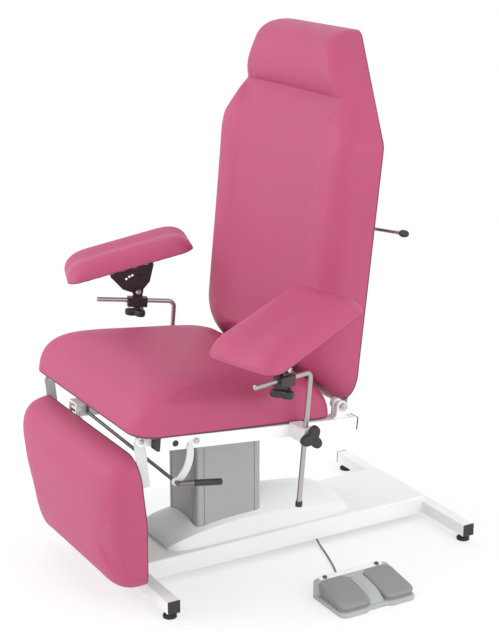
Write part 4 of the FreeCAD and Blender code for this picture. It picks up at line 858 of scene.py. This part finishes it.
class ChairSizes(bpy.types.PropertyGroup):
    """Sizes and colours that a user would change."""

    cover_colour: bpy.props.FloatVectorProperty(
        name="Cover colour", description="Colour of the upholstery", default=(0.425, 0.068, 0.152, 1.0),
        **COLOUR)
    steel_colour: bpy.props.FloatVectorProperty(
        name="Frame colour", description="Colour of the powder coat", default=(0.83, 0.83, 0.825, 1.0),
        **COLOUR)
    column_colour: bpy.props.FloatVectorProperty(
        name="Column colour", description="Colour of the lift column", default=(0.43, 0.43, 0.44, 1.0),
        **COLOUR)
    pedal_colour: bpy.props.FloatVectorProperty(
        name="Pedal colour", description="Colour of the pedals", default=(0.245, 0.245, 0.237, 1.0), **COLOUR)
    housing_colour: bpy.props.FloatVectorProperty(
        name="Housing colour", description="Colour of the foot switch", default=(0.40, 0.415, 0.415, 1.0),
        **COLOUR)
    cover_swell: bpy.props.FloatProperty(
        name="Cover swell", description="How far the foam pushes the covers out", default=0.006, min=0.0,
        max=0.02, **LENGTH)
    cord_diameter: bpy.props.FloatProperty(
        name="Cord diameter", description="Outer diameter of the foot switch's cord", default=0.005,
        min=0.003, max=0.010, **LENGTH)
    staple_pitch: bpy.props.FloatProperty(
        name="Staple pitch", description="Distance between the staples that hold the covers", default=0.030,
        min=0.015, max=0.080, **LENGTH)
    lamp_strength: bpy.props.FloatProperty(
        name="Lamp strength", description="Strength of the large lamps", subtype="POWER", default=57.0,
        min=0.0)


def sizes():
    """The scene's own sizes."""
    return bpy.context.scene.chair_sizes


# How each finish is made: its kind, its name, its colour or the setting that holds it, then the rest
RECIPES = {
    "cover": (leatherette, "pink_leatherette", "cover_colour"),
    "white": (powder_coat, "white_powder_coat", "steel_colour"),
    # The hanger and the leg frame are white like the other steel; this greyer coat is painted shade on their
    # front faces
    "pale": (powder_coat, "pale_powder_coat", (0.64, 0.64, 0.635)),
    "fairing": (powder_coat, "white_moulded_cover", (0.78, 0.79, 0.80), 0.30),
    "column": (anodised, "anodised_column", "column_colour"),
    "steel": (satin_steel, "satin_steel_rod", (0.48, 0.455, 0.44)),
    "dark": (satin_steel, "dark_steel_rod", (0.19, 0.185, 0.18), 0.30),
    "bright": (satin_steel, "bright_zinc", (0.62, 0.62, 0.62), 0.22),
    "chrome": (satin_steel, "hard_chrome", (0.72, 0.72, 0.73), 0.08),
    "black": (moulded, "black_moulding", (0.024, 0.023, 0.022), 0.42),
    "bracket": (powder_coat, "black_bracket_paint", (0.030, 0.018, 0.024), 0.34),
    "rubber": (moulded, "black_rubber", (0.022, 0.022, 0.022), 0.70, 500.0),
    "natural": (moulded, "natural_glide", (0.78, 0.77, 0.72), 0.38),
    "pedal": (moulded, "pedal_grey", "pedal_colour", 0.48, 700.0, 0.0004, 0.25),
    "housing": (moulded, "switch_grey", "housing_colour", 0.44, 700.0, 0.0004, 0.22),
    "strip": (moulded, "strip_white", (0.80, 0.80, 0.80), 0.40),
    "cord": (moulded, "cord_grey", (0.20, 0.20, 0.21), 0.50, 600.0),
    "box": (moulded, "controller_grey", (0.10, 0.10, 0.105), 0.52, 500.0),
    "wood": (plywood, "birch_plywood"),
    "lining": (lining, "black_lining", (0.030, 0.028, 0.030)),
    # Darkened cover colour at the rim: painted shade along the cover's edge
    "edge": (moulded, "cover_edge", (0.13, 0.035, 0.065), 0.60),
}
made = {}


def finish_of(key):
    """A shared finish, made once."""
    if key not in made:
        make, name, *rest = RECIPES[key]
        values = [tuple(getattr(sizes(), part)) if isinstance(part, str) else part for part in rest]
        made[key] = make(name, *values)
    return made[key]


# The solid pieces that stay as they are, by finish
SOLID_FINISHES = {
    "white": ("base_cross_tubes", "base_tray", "column_head", "seat_rail_left", "seat_rail_right",
              "seat_cross_members", "post_clamps", "back_frame", "back_release_bracket"),
    # White parts given a greyer coat as painted shade
    "pale": ("release_hanger", "leg_frame"),
    "fairing": ("base_fairing",),
    "column": ("column_outer", "column_middle", "column_inner"),
    "steel": ("arm_post_left", "arm_post_right", "back_release_lever", "lift_spindle"),
    "dark": ("release_rod",),
    "bright": ("hinge_pins",),
    "chrome": ("leg_spring_rod", "back_spring_rod"),
    "black": ("tube_caps", "rail_caps", "post_cap_left", "post_cap_right", "release_grip", "cord_gland",
              "leg_spring_cylinder", "back_spring_cylinder", "lift_drive"),
    "bracket": ("pad_clamp_left", "pad_clamp_right", "pad_bracket_left", "pad_bracket_right"),
    "rubber": ("leveling_feet",),
    "natural": ("column_glides",),
    "box": ("control_box",),
    "wood": ("seat_board", "arm_board_left", "arm_board_right"),
    "lining": ("back_board", "leg_board"),
}


class CHAIR_OT_finishes(bpy.types.Operator):
    """Give the solid pieces that stay as they are their finishes"""

    bl_idname = "chair.finishes"
    bl_label = "Finishes"

    def execute(self, context):
        for finish, names in SOLID_FINISHES.items():
            for name in names:
                mesh = nodes[name].data
                mesh.materials.clear()
                mesh.materials.append(finish_of(finish))
        return {"FINISHED"}


def cushion(name, padding, to_frame, body, replaced, swell_share=1.0):
    piece = linked(name, padding.build(name, to_frame))
    # The second finish is the dark rim, painted shade along the cover's edge
    for finish in ("cover", "edge"):
        piece.data.materials.append(finish_of(finish))
    softened(piece, sizes().cover_swell * swell_share)
    piece.vertex_groups.clear()
    finer = piece.modifiers.new("finer", "SUBSURF")
    finer.levels = 1
    finer.render_levels = 1
    applied(piece)
    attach(piece, body)
    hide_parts(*replaced)


class CHAIR_OT_seat_cushion(bpy.types.Operator):
    """Make the seat cushion with its crown and rolled front"""

    bl_idname = "chair.seat_cushion"
    bl_label = "Seat cushion"

    def execute(self, context):
        padding = Padding(seat_half, insets=(0.110, 0.110, 0.100), powers=(2.5, 1.8, 3.6), top_at=seat_top,
                          corner=22)
        cushion("seat_upholstery", padding, in_seat, "seat", ("seat_cushion",))
        return {"FINISHED"}


class CHAIR_OT_back_cushion(bpy.types.Operator):
    """Make the back with its side ridges, panel, crease and head roll"""

    bl_idname = "chair.back_cushion"
    bl_label = "Back cushion"

    def execute(self, context):
        padding = Padding(back_half, insets=(0.095, 0.072, 0.064), powers=(1.25, 2.5, 3.0), top_at=back_top,
                          corner=20, levels=16)
        cushion("back_upholstery", padding, in_back, "back", ("back_cushion", "headrest_cushion"))
        return {"FINISHED"}


class CHAIR_OT_leg_cushion(bpy.types.Operator):
    """Make the leg rest's cushion"""

    bl_idname = "chair.leg_cushion"
    bl_label = "Leg cushion"

    def execute(self, context):
        padding = Padding(leg_half, insets=(0.070, 0.070, 0.070), powers=(2.8, 2.8, 2.8), top_at=leg_top,
                          corner=20)
        cushion("leg_upholstery", padding, in_leg, "leg_rest", ("leg_cushion",))
        return {"FINISHED"}


class CHAIR_OT_arm_cushions(bpy.types.Operator):
    """Make the two arm pads with their gutters"""

    bl_idname = "chair.arm_cushions"
    bl_label = "Arm pads"

    def execute(self, context):
        for side in SIDES:
            padding = Padding(pad_half, insets=(0.036, 0.036, 0.032), powers=(1.6, 1.6, 1.6), top_at=pad_top,
                              corner=12, levels=12, rim=PAD["board"])
            cushion("arm_upholstery_" + side, padding, in_pad(side), "arm_pad_" + side,
                    ("arm_cushion_" + side,), swell_share=0.6)
        return {"FINISHED"}


# Path of the foot switch's cord, from the middle of the base
CORD_POINTS = (
    (0.074, 0.080, 0.026), (0.084, 0.080, 0.026), (0.095, 0.0797, 0.022), (0.107, 0.079, 0.0146),
    (0.121, 0.077, 0.0076), (0.138, 0.074, 0.0036), (0.160, 0.069, 0.0027), (0.192, 0.059, 0.0026),
    (0.232, 0.046, 0.0027), (0.266, 0.032, 0.0030), (0.288, 0.0215, 0.0052), (0.304, 0.013, 0.0106),
    (0.317, 0.0066, 0.0178), (0.330, 0.003, 0.024), (0.343, 0.003, 0.024),
)


class CHAIR_OT_switch_cord(bpy.types.Operator):
    """Lay the foot switch's cord along the floor"""

    bl_idname = "chair.switch_cord"
    bl_label = "Foot switch cord"

    def execute(self, context):
        diameter = sizes().cord_diameter
        curve = bpy.data.curves.new("foot_switch_cord", "CURVE")
        curve.dimensions = "3D"
        curve.bevel_depth = diameter / 2
        curve.bevel_resolution = 5
        curve.resolution_u = 10
        curve.use_fill_caps = True
        spline = curve.splines.new("NURBS")
        spline.points.add(len(CORD_POINTS) - 1)
        for point, place in zip(spline.points, CORD_POINTS):
            point.co = (*(Vector(place) + base_middle), 1.0)
        spline.order_u = 3
        spline.use_endpoint_u = True
        curve.materials.append(finish_of("cord"))
        piece = linked("foot_switch_cord", curve)
        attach(piece, "base")
        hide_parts("switch_cord")
        return {"FINISHED"}


# Sizes of the foot switch, along it from the middle of its rear edge and across it
SWITCH = {
    "x": 0.343, "y": 0.0167, "half": 0.1025, "length": 0.134, "plate": 0.012, "rear": 0.044, "corner": 0.017,
    "tail": 0.014, "notch": 0.007, "notch_half": 0.024, "notch_end": 0.036, "block_half": 0.0150,
    "block_corner": 0.0138, "core_middle": 0.066, "core_half": 0.050, "core_inset": 0.012,
    "core_corner": 0.016, "core_drop": 0.016,
    "bridge": 0.0195, "bridge_edge": 0.003, "bridge_foot": 0.001,
    "strip_middle": 0.0100, "strip_height": 0.0445, "strip_half": 0.0070, "strip_inset": 0.0150,
    "strip_corner": 0.003, "strip_lean": math.radians(19.0), "strip_top": 0.0017, "screw_across": 0.072,
    "screw": 0.0058, "pedal_middle": 0.0602, "pedal_half": 0.0402, "pedal_corner": 0.0155,
    "pedal_start": 0.0170, "pedal_length": 0.1125, "pedal_top": 0.0455,
    "pedal_fall": math.radians(8.0), "pedal_droop": 0.0035,
    "droop_length": 0.030, "pedal_shear": 0.3,
}
# How far the middle of a quarter turn stays from the corner that it rounds, as a share of its radius
TURN_IN = 0.293
BRIDGE_BEVEL = 0.35
BRIDGE_LINE = ((0.004, 0.0440), (0.022, 0.0432), (0.060, 0.0385), (0.090, 0.0325), (0.104, 0.0275),
               (0.114, 0.0205), (0.120, 0.0130), (0.123, 0.0040), (0.1235, 0.0010))
# Steps of each moulded form, as (draw-in, height)
PLATE_STEPS = ((0.0015, 0.0), (0.0, 0.0015), (0.0, SWITCH["plate"] - 0.004),
               (0.0012, SWITCH["plate"] - 0.0012), (0.004, SWITCH["plate"]))
BLOCK_STEPS = ((0.0, 0.004), (0.0, 0.0385), (0.0015, 0.0425), (0.0045, SWITCH["rear"]))
CORE_STEPS = ((0.0, 0.006), (0.0, 0.0119), (0.0, 0.030))
STRIP_STEPS = ((0.0, -0.0035), (0.0, 0.0009), (0.0006, 0.0015), (0.0014, 0.0017))
PEDAL_STEPS = ((0.0030, -0.0170), (0.0012, -0.0160), (0.0008, -0.0104), (0.0030, -0.0094), (0.0006, -0.0082),
               (0.0, -0.0050), (0.0005, -0.0028), (0.0018, -0.0011), (0.0038, -0.0003), (0.0060, 0.0),
               (0.0140, 0.0001))
SWITCH_CREASE = 34
PEDAL_CREASE = 50


def in_switch(across, along, height):
    """A point of the foot switch, from the middle of its rear edge."""
    return base_middle + Vector((SWITCH["x"] + along, SWITCH["y"] + across, height))


def plate_ring(draw):
    """Outline of the base plate, with a shallow notch in its front."""
    half = SWITCH["half"] - draw
    front = SWITCH["length"] - draw
    corner = SWITCH["corner"]
    tail = SWITCH["tail"]
    notch = front - SWITCH["notch"]
    return whole_ring(traced((0.0, notch), (
        (2, (SWITCH["notch_half"], notch)), (4, (SWITCH["notch_end"], front)), (3, (half - corner, front)),
        (8, (half - corner * TURN_IN, front - corner * TURN_IN), (half, front - corner)),
        (6, (half, draw + tail)), (5, (half - tail * TURN_IN, draw + tail * TURN_IN), (half - tail, draw)),
        (6, (0.0, draw)),
    )))


def block_ring(middle, half_along, half_across, corner, count=6, shrink=0.0):
    """A function that gives a rounded block's outline at a draw-in, of which its corners take up a share."""
    return lambda draw: [(across, along + middle) for along, across in rounded_outline(
        half_along - draw, half_across - draw, corner - draw * shrink, count)]


def in_core(across, along, height):
    """A point of the block under the pedals, whose top falls with them."""
    if height < SWITCH["plate"]:
        return in_switch(across, along, height)
    fall = (along - SWITCH["pedal_start"]) * math.tan(SWITCH["pedal_fall"])
    return in_switch(across, along, SWITCH["pedal_top"] - SWITCH["core_drop"] - fall)


def in_strip(across, along, height):
    """A point of the white strip, which leans on the rear block."""
    cos, sin = math.cos(SWITCH["strip_lean"]), math.sin(SWITCH["strip_lean"])
    return in_switch(across, SWITCH["strip_middle"] + along * cos + height * sin,
                     SWITCH["strip_height"] - along * sin + height * cos)


def bridge_rings():
    """Rings of the bridge between the pedals, with bevelled edges."""
    half, edge = SWITCH["bridge"], SWITCH["bridge_edge"]
    bevel = edge * BRIDGE_BEVEL
    rings = []
    for along, height in BRIDGE_LINE:
        low = min(SWITCH["bridge_foot"], height)
        side = ((half, low), (half, max(low, height - edge)), (half - bevel, max(low, height - bevel)),
                (half - edge, height))
        rings.append([in_switch(-across, along, rise) for across, rise in side]
                     + [in_switch(across, along, rise) for across, rise in side[::-1]])
    return rings


class CHAIR_OT_foot_switch(bpy.types.Operator):
    """Make the foot switch: moulded housing with its bridge, white strip and two rounded pedals"""

    bl_idname = "chair.foot_switch"
    bl_label = "Foot switch"

    def execute(self, context):
        bm = bmesh.new()
        slab(bm, plate_ring, PLATE_STEPS, in_switch)
        rear = SWITCH["block_half"]
        block = block_ring(rear, rear, SWITCH["half"], SWITCH["block_corner"], shrink=1.0)
        slab(bm, block, BLOCK_STEPS, in_switch)
        inner = SWITCH["half"] - SWITCH["core_inset"]
        core = block_ring(SWITCH["core_middle"], SWITCH["core_half"], inner, SWITCH["core_corner"])
        slab(bm, core, CORE_STEPS, in_core)
        lofted(bm, bridge_rings())
        new_piece("foot_switch_housing", bm, SWITCH_CREASE, "housing", "base",
                  ("switch_housing",))

        bm = bmesh.new()
        inner = SWITCH["half"] - SWITCH["strip_inset"]
        strip = block_ring(0.0, SWITCH["strip_half"], inner, SWITCH["strip_corner"], count=3)
        slab(bm, strip, STRIP_STEPS, in_strip)
        new_piece("foot_switch_strip", bm, SWITCH_CREASE, "strip", "base", ("switch_strip",))
        spots = []
        for across in (-SWITCH["screw_across"], SWITCH["screw_across"]):
            place = in_strip(across, 0.0, SWITCH["strip_top"])
            spots.append((place, facing(in_strip(across, 0.0, SWITCH["strip_top"] + 1.0) - place)))
        scattered("foot_switch_screws", spots, socket_head(SWITCH["screw"]), "box", "base")

        cos, sin = math.cos(SWITCH["pedal_fall"]), math.sin(SWITCH["pedal_fall"])
        length = SWITCH["pedal_length"]
        for side, way in (("left", 1), ("right", -1)):

            def in_pedal(across, along, height):
                reach = along + length / 2
                height -= SWITCH["pedal_droop"] * eased(reach, length - SWITCH["droop_length"], length)
                return in_switch(way * SWITCH["pedal_middle"] + across,
                                 SWITCH["pedal_start"] + reach * cos - height * sin * SWITCH["pedal_shear"],
                                 SWITCH["pedal_top"] - reach * sin + height * cos)

            name = "pedal_" + side
            bm = bmesh.new()
            pedal = block_ring(0.0, length / 2, SWITCH["pedal_half"], SWITCH["pedal_corner"], count=8)
            slab(bm, pedal, PEDAL_STEPS, in_pedal)
            new_piece("foot_" + name, bm, PEDAL_CREASE, "pedal", name, (name,))
        return {"FINISHED"}


# Rings of a hand knob from its flange: whether it has lobes there, radius or draw-in, and rise
KNOB_RINGS = (
    (False, 0.0080, 0.0005), (False, 0.0086, 0.0012), (False, 0.0090, 0.0062), (True, 0.0050, 0.0070),
    (True, 0.0018, 0.0078), (True, 0.0004, 0.0096), (True, 0.0, 0.0130), (True, 0.0002, 0.0180),
    (True, 0.0012, 0.0214), (True, 0.0034, 0.0234), (True, 0.0064, 0.0242), (False, 0.0070, 0.0246),
    (False, 0.0062, 0.0243), (False, 0.0058, 0.0235),
)
KNOB_HEIGHT = 0.0246
KNOB_REACH = 0.03
KNOB_POINTS = 60
KNOB_CREASE = 38
KNOB_TURNS = {"post": Vector((0.0, 0.35, 1.0)), "pad": Vector((1.0, 0.2, 0.0))}  # Which way one lobe points
LOBES = 3
LOBE_ROOT = 0.0150
LOBE_LENGTH = 0.0150
LOBE_POWER = 0.85
STUD = {"radius": 0.0039, "tip_radius": 0.0030, "tip": 0.001, "top": 0.004, "points": 20}
LEVER_KNOB = {"half": 0.0138, "radius": 0.0084, "power": 0.55, "start": 0.06, "span": 0.88, "rings": 12,
              "points": 28, "crease": 60}


def lobe_reach(angle):
    """How far a hand knob reaches out at an angle."""
    return LOBE_ROOT + LOBE_LENGTH * (0.5 + 0.5 * math.cos(LOBES * angle)) ** LOBE_POWER


def hand_knob(name, node, place, turn, stud_end):
    """A three-lobe hand knob with soft edges, from its flange along its own axis, and its stud."""
    frame_of = Matrix.Translation(place) @ turn.to_matrix().to_4x4()
    rings = []
    for lobed, size, rise in KNOB_RINGS:
        radius = (lambda angle: lobe_reach(angle) - size) if lobed else size
        rings.append(ring_about(frame_of, radius, rise, KNOB_POINTS))
    bm = bmesh.new()
    lofted(bm, rings)
    stud = bmesh.new()
    steps = ((STUD["tip_radius"], stud_end), (STUD["radius"], stud_end + STUD["tip"]),
             (STUD["radius"], STUD["top"]))
    lofted(stud, [ring_about(frame_of, radius, rise, STUD["points"]) for radius, rise in steps])
    new_piece(name + "_stud", stud, KNOB_CREASE, "bright", node)
    new_piece(name, bm, KNOB_CREASE, "black", node, (node,))


class CHAIR_OT_knobs(bpy.types.Operator):
    """Make the four three-lobe knobs and the knob of the back's lever"""

    bl_idname = "chair.knobs"
    bl_label = "Knobs"

    def execute(self, context):
        for side in SIDES:
            for kind, turn in KNOB_TURNS.items():
                node = kind + "_knob_" + side
                way = Vector(joints[node]["axis"]).normalized()
                outward = way.x * (1 if side == "left" else -1) if kind == "post" else -way.z
                if outward < 0:
                    way = -way
                tip = end_along(node, joint_point(node), way, KNOB_REACH)
                back = end_along(node, joint_point(node), -way, KNOB_REACH)
                start = tip - way * KNOB_HEIGHT
                hand_knob("hand_knob_" + kind + "_" + side, node, start, facing(way, turn),
                          (back - start).dot(way))
        knob = nodes["back_release_knob"]
        place = knob.matrix_world
        middle = sum((place @ Vector(corner) for corner in knob.bound_box), Vector()) / 8
        cloud = numpy.array([place @ vertex.co for vertex in knob.data.vertices]) - numpy.array(middle)
        way = Vector(numpy.linalg.svd(cloud, full_matrices=False)[2][0])
        way = way if way.x > 0 else -way
        turn = Matrix.Translation(middle) @ facing(way).to_matrix().to_4x4()
        rings = []
        for k in range(LEVER_KNOB["rings"] + 1):
            angle = math.pi * (LEVER_KNOB["start"] + LEVER_KNOB["span"] * k / LEVER_KNOB["rings"])
            radius = LEVER_KNOB["radius"] * math.sin(angle) ** LEVER_KNOB["power"]
            along = -LEVER_KNOB["half"] * math.cos(angle)
            rings.append(ring_about(turn, radius, along, LEVER_KNOB["points"]))
        bm = bmesh.new()
        lofted(bm, rings)
        new_piece("lever_knob", bm, LEVER_KNOB["crease"], "black", "back_lever",
                  ("back_release_knob",))
        return {"FINISHED"}


SEAT_SCREW = 0.0062
BRACKET_SCREW = 0.0070
# How far from its axis the end of a pin is looked for
HINGE_REACH = 0.012
HOOK_REACH = 0.02
SPRING_REACH = 0.008
CLAMP_REACH = 0.009
RAIL_SCREW = (-0.0432, 0.3928)
HOOK_MIDDLE = Vector((0.0, -0.2868, 0.4195))


class CHAIR_OT_fasteners(bpy.types.Operator):
    """Put the socket screws on hinges, rails, springs and arm brackets"""

    bl_idname = "chair.fasteners"
    bl_label = "Screws"

    def execute(self, context):
        right = Vector((1.0, 0.0, 0.0))
        spots = []
        for way in (-1, 1):
            for name in ("back_recline", "leg_rest_raise"):
                place = end_along("hinge_pins", joint_point(name), right * way, HINGE_REACH)
                spots.append((place, facing(right * way)))
            rail = nodes["seat_rail_left" if way > 0 else "seat_rail_right"]
            outer = (rail.matrix_world @ Vector(rail.bound_box[6 if way > 0 else 0])).x
            spots.append((Vector((outer, *RAIL_SCREW)), facing(right * way)))
        spots.append((end_along("release_hanger", HOOK_MIDDLE, right, HOOK_REACH), facing(right)))
        for name, node in (("leg_spring_swing", "leg_spring_rod"),
                           ("back_spring_swing", "back_spring_cylinder")):
            for way in (-1, 1):
                place = joint_point(name)
                place.x = end_along(node, place, right * way, SPRING_REACH).x
                spots.append((place, facing(right * way)))
        scattered("seat_screws", spots, socket_head(SEAT_SCREW), "bright", "seat")
        for side in SIDES:
            clamp, tilt = "pad_clamp_" + side, "pad_tilt_" + side
            axis = Vector(joints[tilt]["axis"]).normalized()
            axis = axis if axis.x > 0 else -axis
            spots = [(end_along(clamp, joint_point(tilt), way, CLAMP_REACH), facing(way))
                     for way in (axis, -axis)]
            scattered("bracket_screws_" + side, spots, socket_head(BRACKET_SCREW), "bright", clamp)
        return {"FINISHED"}


def along_ring(points, pitch):
    """Places and directions at even steps round a closed ring."""
    ring = [Vector(point) for point in points]
    spans = [(ring[(k + 1) % len(ring)] - ring[k]).length for k in range(len(ring))]
    total = sum(spans)
    count = max(3, round(total / pitch))
    found = []
    edge = 0
    passed = 0.0
    for k in range(count):
        target = total * k / count
        while passed + spans[edge] < target:
            passed += spans[edge]
            edge += 1
        way = (ring[(edge + 1) % len(ring)] - ring[edge]).normalized()
        found.append((ring[edge] + way * (target - passed), way))
    return found


STAPLE_INSET = 0.007
STAPLE_LENGTH = 0.0105
STAPLE_WIRE = 0.0012
PROBE = 0.1  # Height of the second point that gives the face's normal


class CHAIR_OT_staples(bpy.types.Operator):
    """Staple the covers to their boards"""

    bl_idname = "chair.staples"
    bl_label = "Staples"

    def execute(self, context):
        groups = [("seat", seat_half, in_seat, "seat", "seat_cushion"),
                  ("back", back_half, in_back, "back", "back_cushion"),
                  ("leg_rest", leg_half, in_leg, "leg_rest", "leg_cushion")]
        groups += [("pad_" + side, pad_half, in_pad(side), "arm_pad_" + side, "arm_cushion_" + side)
                   for side in SIDES]
        for label, half_at, to_frame, body, slot in groups:
            spots = []
            outline = whole_ring(half_at(STAPLE_INSET, STAPLE_INSET, STAPLE_INSET))
            for spot, way in along_ring(outline, sizes().staple_pitch):
                place = to_frame(spot.x, spot.y, 0.0)
                normal = place - to_frame(spot.x, spot.y, PROBE)
                along = to_frame(spot.x + way.x, spot.y + way.y, 0.0) - place
                spots.append((place, facing(normal, along)))
            shape = staple_crown(STAPLE_LENGTH, STAPLE_WIRE)
            scattered("staples_" + label, spots, shape, "bright", body)
        return {"FINISHED"}


# Each lamp's place, its target, its size and its share of the lamps' strength
LAMPS = {
    "front_lamp": ((-1.2, -3.2, 1.9), (0.0, 0.0, 0.8), 2.4, 0.92),
    "top_lamp": ((-0.6, -0.2, 4.0), (0.0, 0.0, 0.3), 3.0, 0.16),
    "side_lamp": ((3.4, 0.6, 1.8), (0.0, 0.0, 0.4), 2.0, 0.60),
}
FLOOR_SIZE = 40.0
FLOOR_COLOUR = (0.93, 0.93, 0.935, 1.0)
# Share of plain white in the floor's look, beside the chair and further off
FLOOR_SHARE = {"From Min": 0.7, "From Max": 2.0, "To Min": 0.58, "To Max": 1.0}
WHITE = (1.0, 1.0, 1.0, 1.0)
SKY_COLOUR = (0.98, 0.99, 1.0, 1.0)
SKY_STRENGTH = 1.04
CAMERA_PLACE = base_middle + Vector((3.102, -1.8457, 1.6544))
CAMERA_AZIMUTH = math.radians(59.85)
CAMERA_ELEVATION = math.radians(16.64)
CAMERA_LENS = {"lens": 88.85, "sensor_width": 36.0, "shift_x": -0.0041, "clip_end": 100.0}


def aimed(holder, place, way):
    """Stands a lamp or a camera at a place and points it."""
    holder.location = place
    holder.rotation_euler = way.to_track_quat("-Z", "Y").to_euler()


class CHAIR_OT_stage(bpy.types.Operator):
    """Set up the pale floor, the lamps and the camera"""

    bl_idname = "chair.stage"
    bl_label = "Stage"

    def execute(self, context):
        scene = context.scene
        bpy.ops.mesh.primitive_plane_add(size=FLOOR_SIZE, location=(0.0, 0.0, 0.0))
        floor = context.object
        floor.name = "floor"
        finish = Finish("pale_floor")
        links = finish.tree.links
        away = finish.node("ShaderNodeVectorMath", {"operation": "LENGTH"}, {0: finish.spot}, "Value")
        near = finish.node("ShaderNodeMapRange", {"interpolation_type": "SMOOTHSTEP"},
                           {"Value": away, **FLOOR_SHARE})
        seen = finish.node("ShaderNodeLightPath", output="Is Camera Ray")
        gloss = finish.node("ShaderNodeLightPath", output="Is Glossy Ray")
        finish.set(Base_Color=FLOOR_COLOUR, Roughness=0.8)
        white = finish.node("ShaderNodeEmission", None, {"Color": WHITE, "Strength": 1.0})
        mix = finish.node("ShaderNodeMixShader", None, {0: near * (seen + gloss).limited()})
        links.new(finish.principled.outputs[0], mix.value.node.inputs[1])
        links.new(white.value, mix.value.node.inputs[2])
        links.new(mix.value, finish.tree.nodes["Material Output"].inputs[0])
        floor.data.materials.append(finish.material)

        world = bpy.data.worlds.new("studio")
        scene.world = world
        world.use_nodes = True
        tree = world.node_tree
        plain = tree.nodes["Background"]
        plain.inputs[0].default_value = SKY_COLOUR
        plain.inputs[1].default_value = SKY_STRENGTH
        shown = tree.nodes.new("ShaderNodeBackground")
        shown.inputs[0].default_value = WHITE
        path = tree.nodes.new("ShaderNodeLightPath")
        blend = tree.nodes.new("ShaderNodeMixShader")
        for source, socket in zip(
            (path.outputs["Is Camera Ray"], plain.outputs[0], shown.outputs[0], blend.outputs[0]),
            (*blend.inputs[:3], tree.nodes["World Output"].inputs[0]),
        ):
            tree.links.new(source, socket)

        for name, (place, target, size, share) in LAMPS.items():
            lamp = bpy.data.lights.new(name, "AREA")
            lamp.size = size
            lamp.energy = sizes().lamp_strength * share
            aimed(linked(name, lamp), place, Vector(target) - Vector(place))

        camera = bpy.data.cameras.new("camera")
        for key, value in CAMERA_LENS.items():
            setattr(camera, key, value)
        scene.camera = linked("camera", camera)
        level = math.cos(CAMERA_ELEVATION)
        back = Vector((math.sin(CAMERA_AZIMUTH) * level, -math.cos(CAMERA_AZIMUTH) * level,
                       math.sin(CAMERA_ELEVATION)))
        aimed(scene.camera, CAMERA_PLACE, -back)
        scene.view_settings.view_transform = "Standard"
        return {"FINISHED"}


OPERATORS = (
    CHAIR_OT_stage,
    CHAIR_OT_switch_cord,
    CHAIR_OT_finishes,
    CHAIR_OT_seat_cushion,
    CHAIR_OT_back_cushion,
    CHAIR_OT_leg_cushion,
    CHAIR_OT_arm_cushions,
    CHAIR_OT_foot_switch,
    CHAIR_OT_knobs,
    CHAIR_OT_fasteners,
    CHAIR_OT_staples,
)


class CHAIR_PT_panel(bpy.types.Panel):
    """Lists the chair's sizes and steps"""

    bl_idname = "CHAIR_PT_panel"
    bl_label = "Phlebotomy chair"
    bl_space_type = "VIEW_3D"
    bl_region_type = "UI"
    bl_category = "Chair"

    def draw(self, context):
        for key in ChairSizes.__annotations__:
            self.layout.prop(context.scene.chair_sizes, key)
        for operator in OPERATORS:
            self.layout.operator(operator.bl_idname)


def register():
    """Make the classes and the scene's sizes known."""
    for item in (ChairSizes, *OPERATORS, CHAIR_PT_panel):
        bpy.utils.register_class(item)
    bpy.types.Scene.chair_sizes = bpy.props.PointerProperty(type=ChairSizes)


def unregister():
    """Take the classes and the sizes away."""
    del bpy.types.Scene.chair_sizes
    for item in reversed((ChairSizes, *OPERATORS, CHAIR_PT_panel)):
        bpy.utils.unregister_class(item)


def main():
    """Dress the chair."""
    register()
    for operator in OPERATORS:
        group, name = operator.bl_idname.split(".")
        getattr(getattr(bpy.ops, group), name)()


if __name__ == "__main__":
    main()
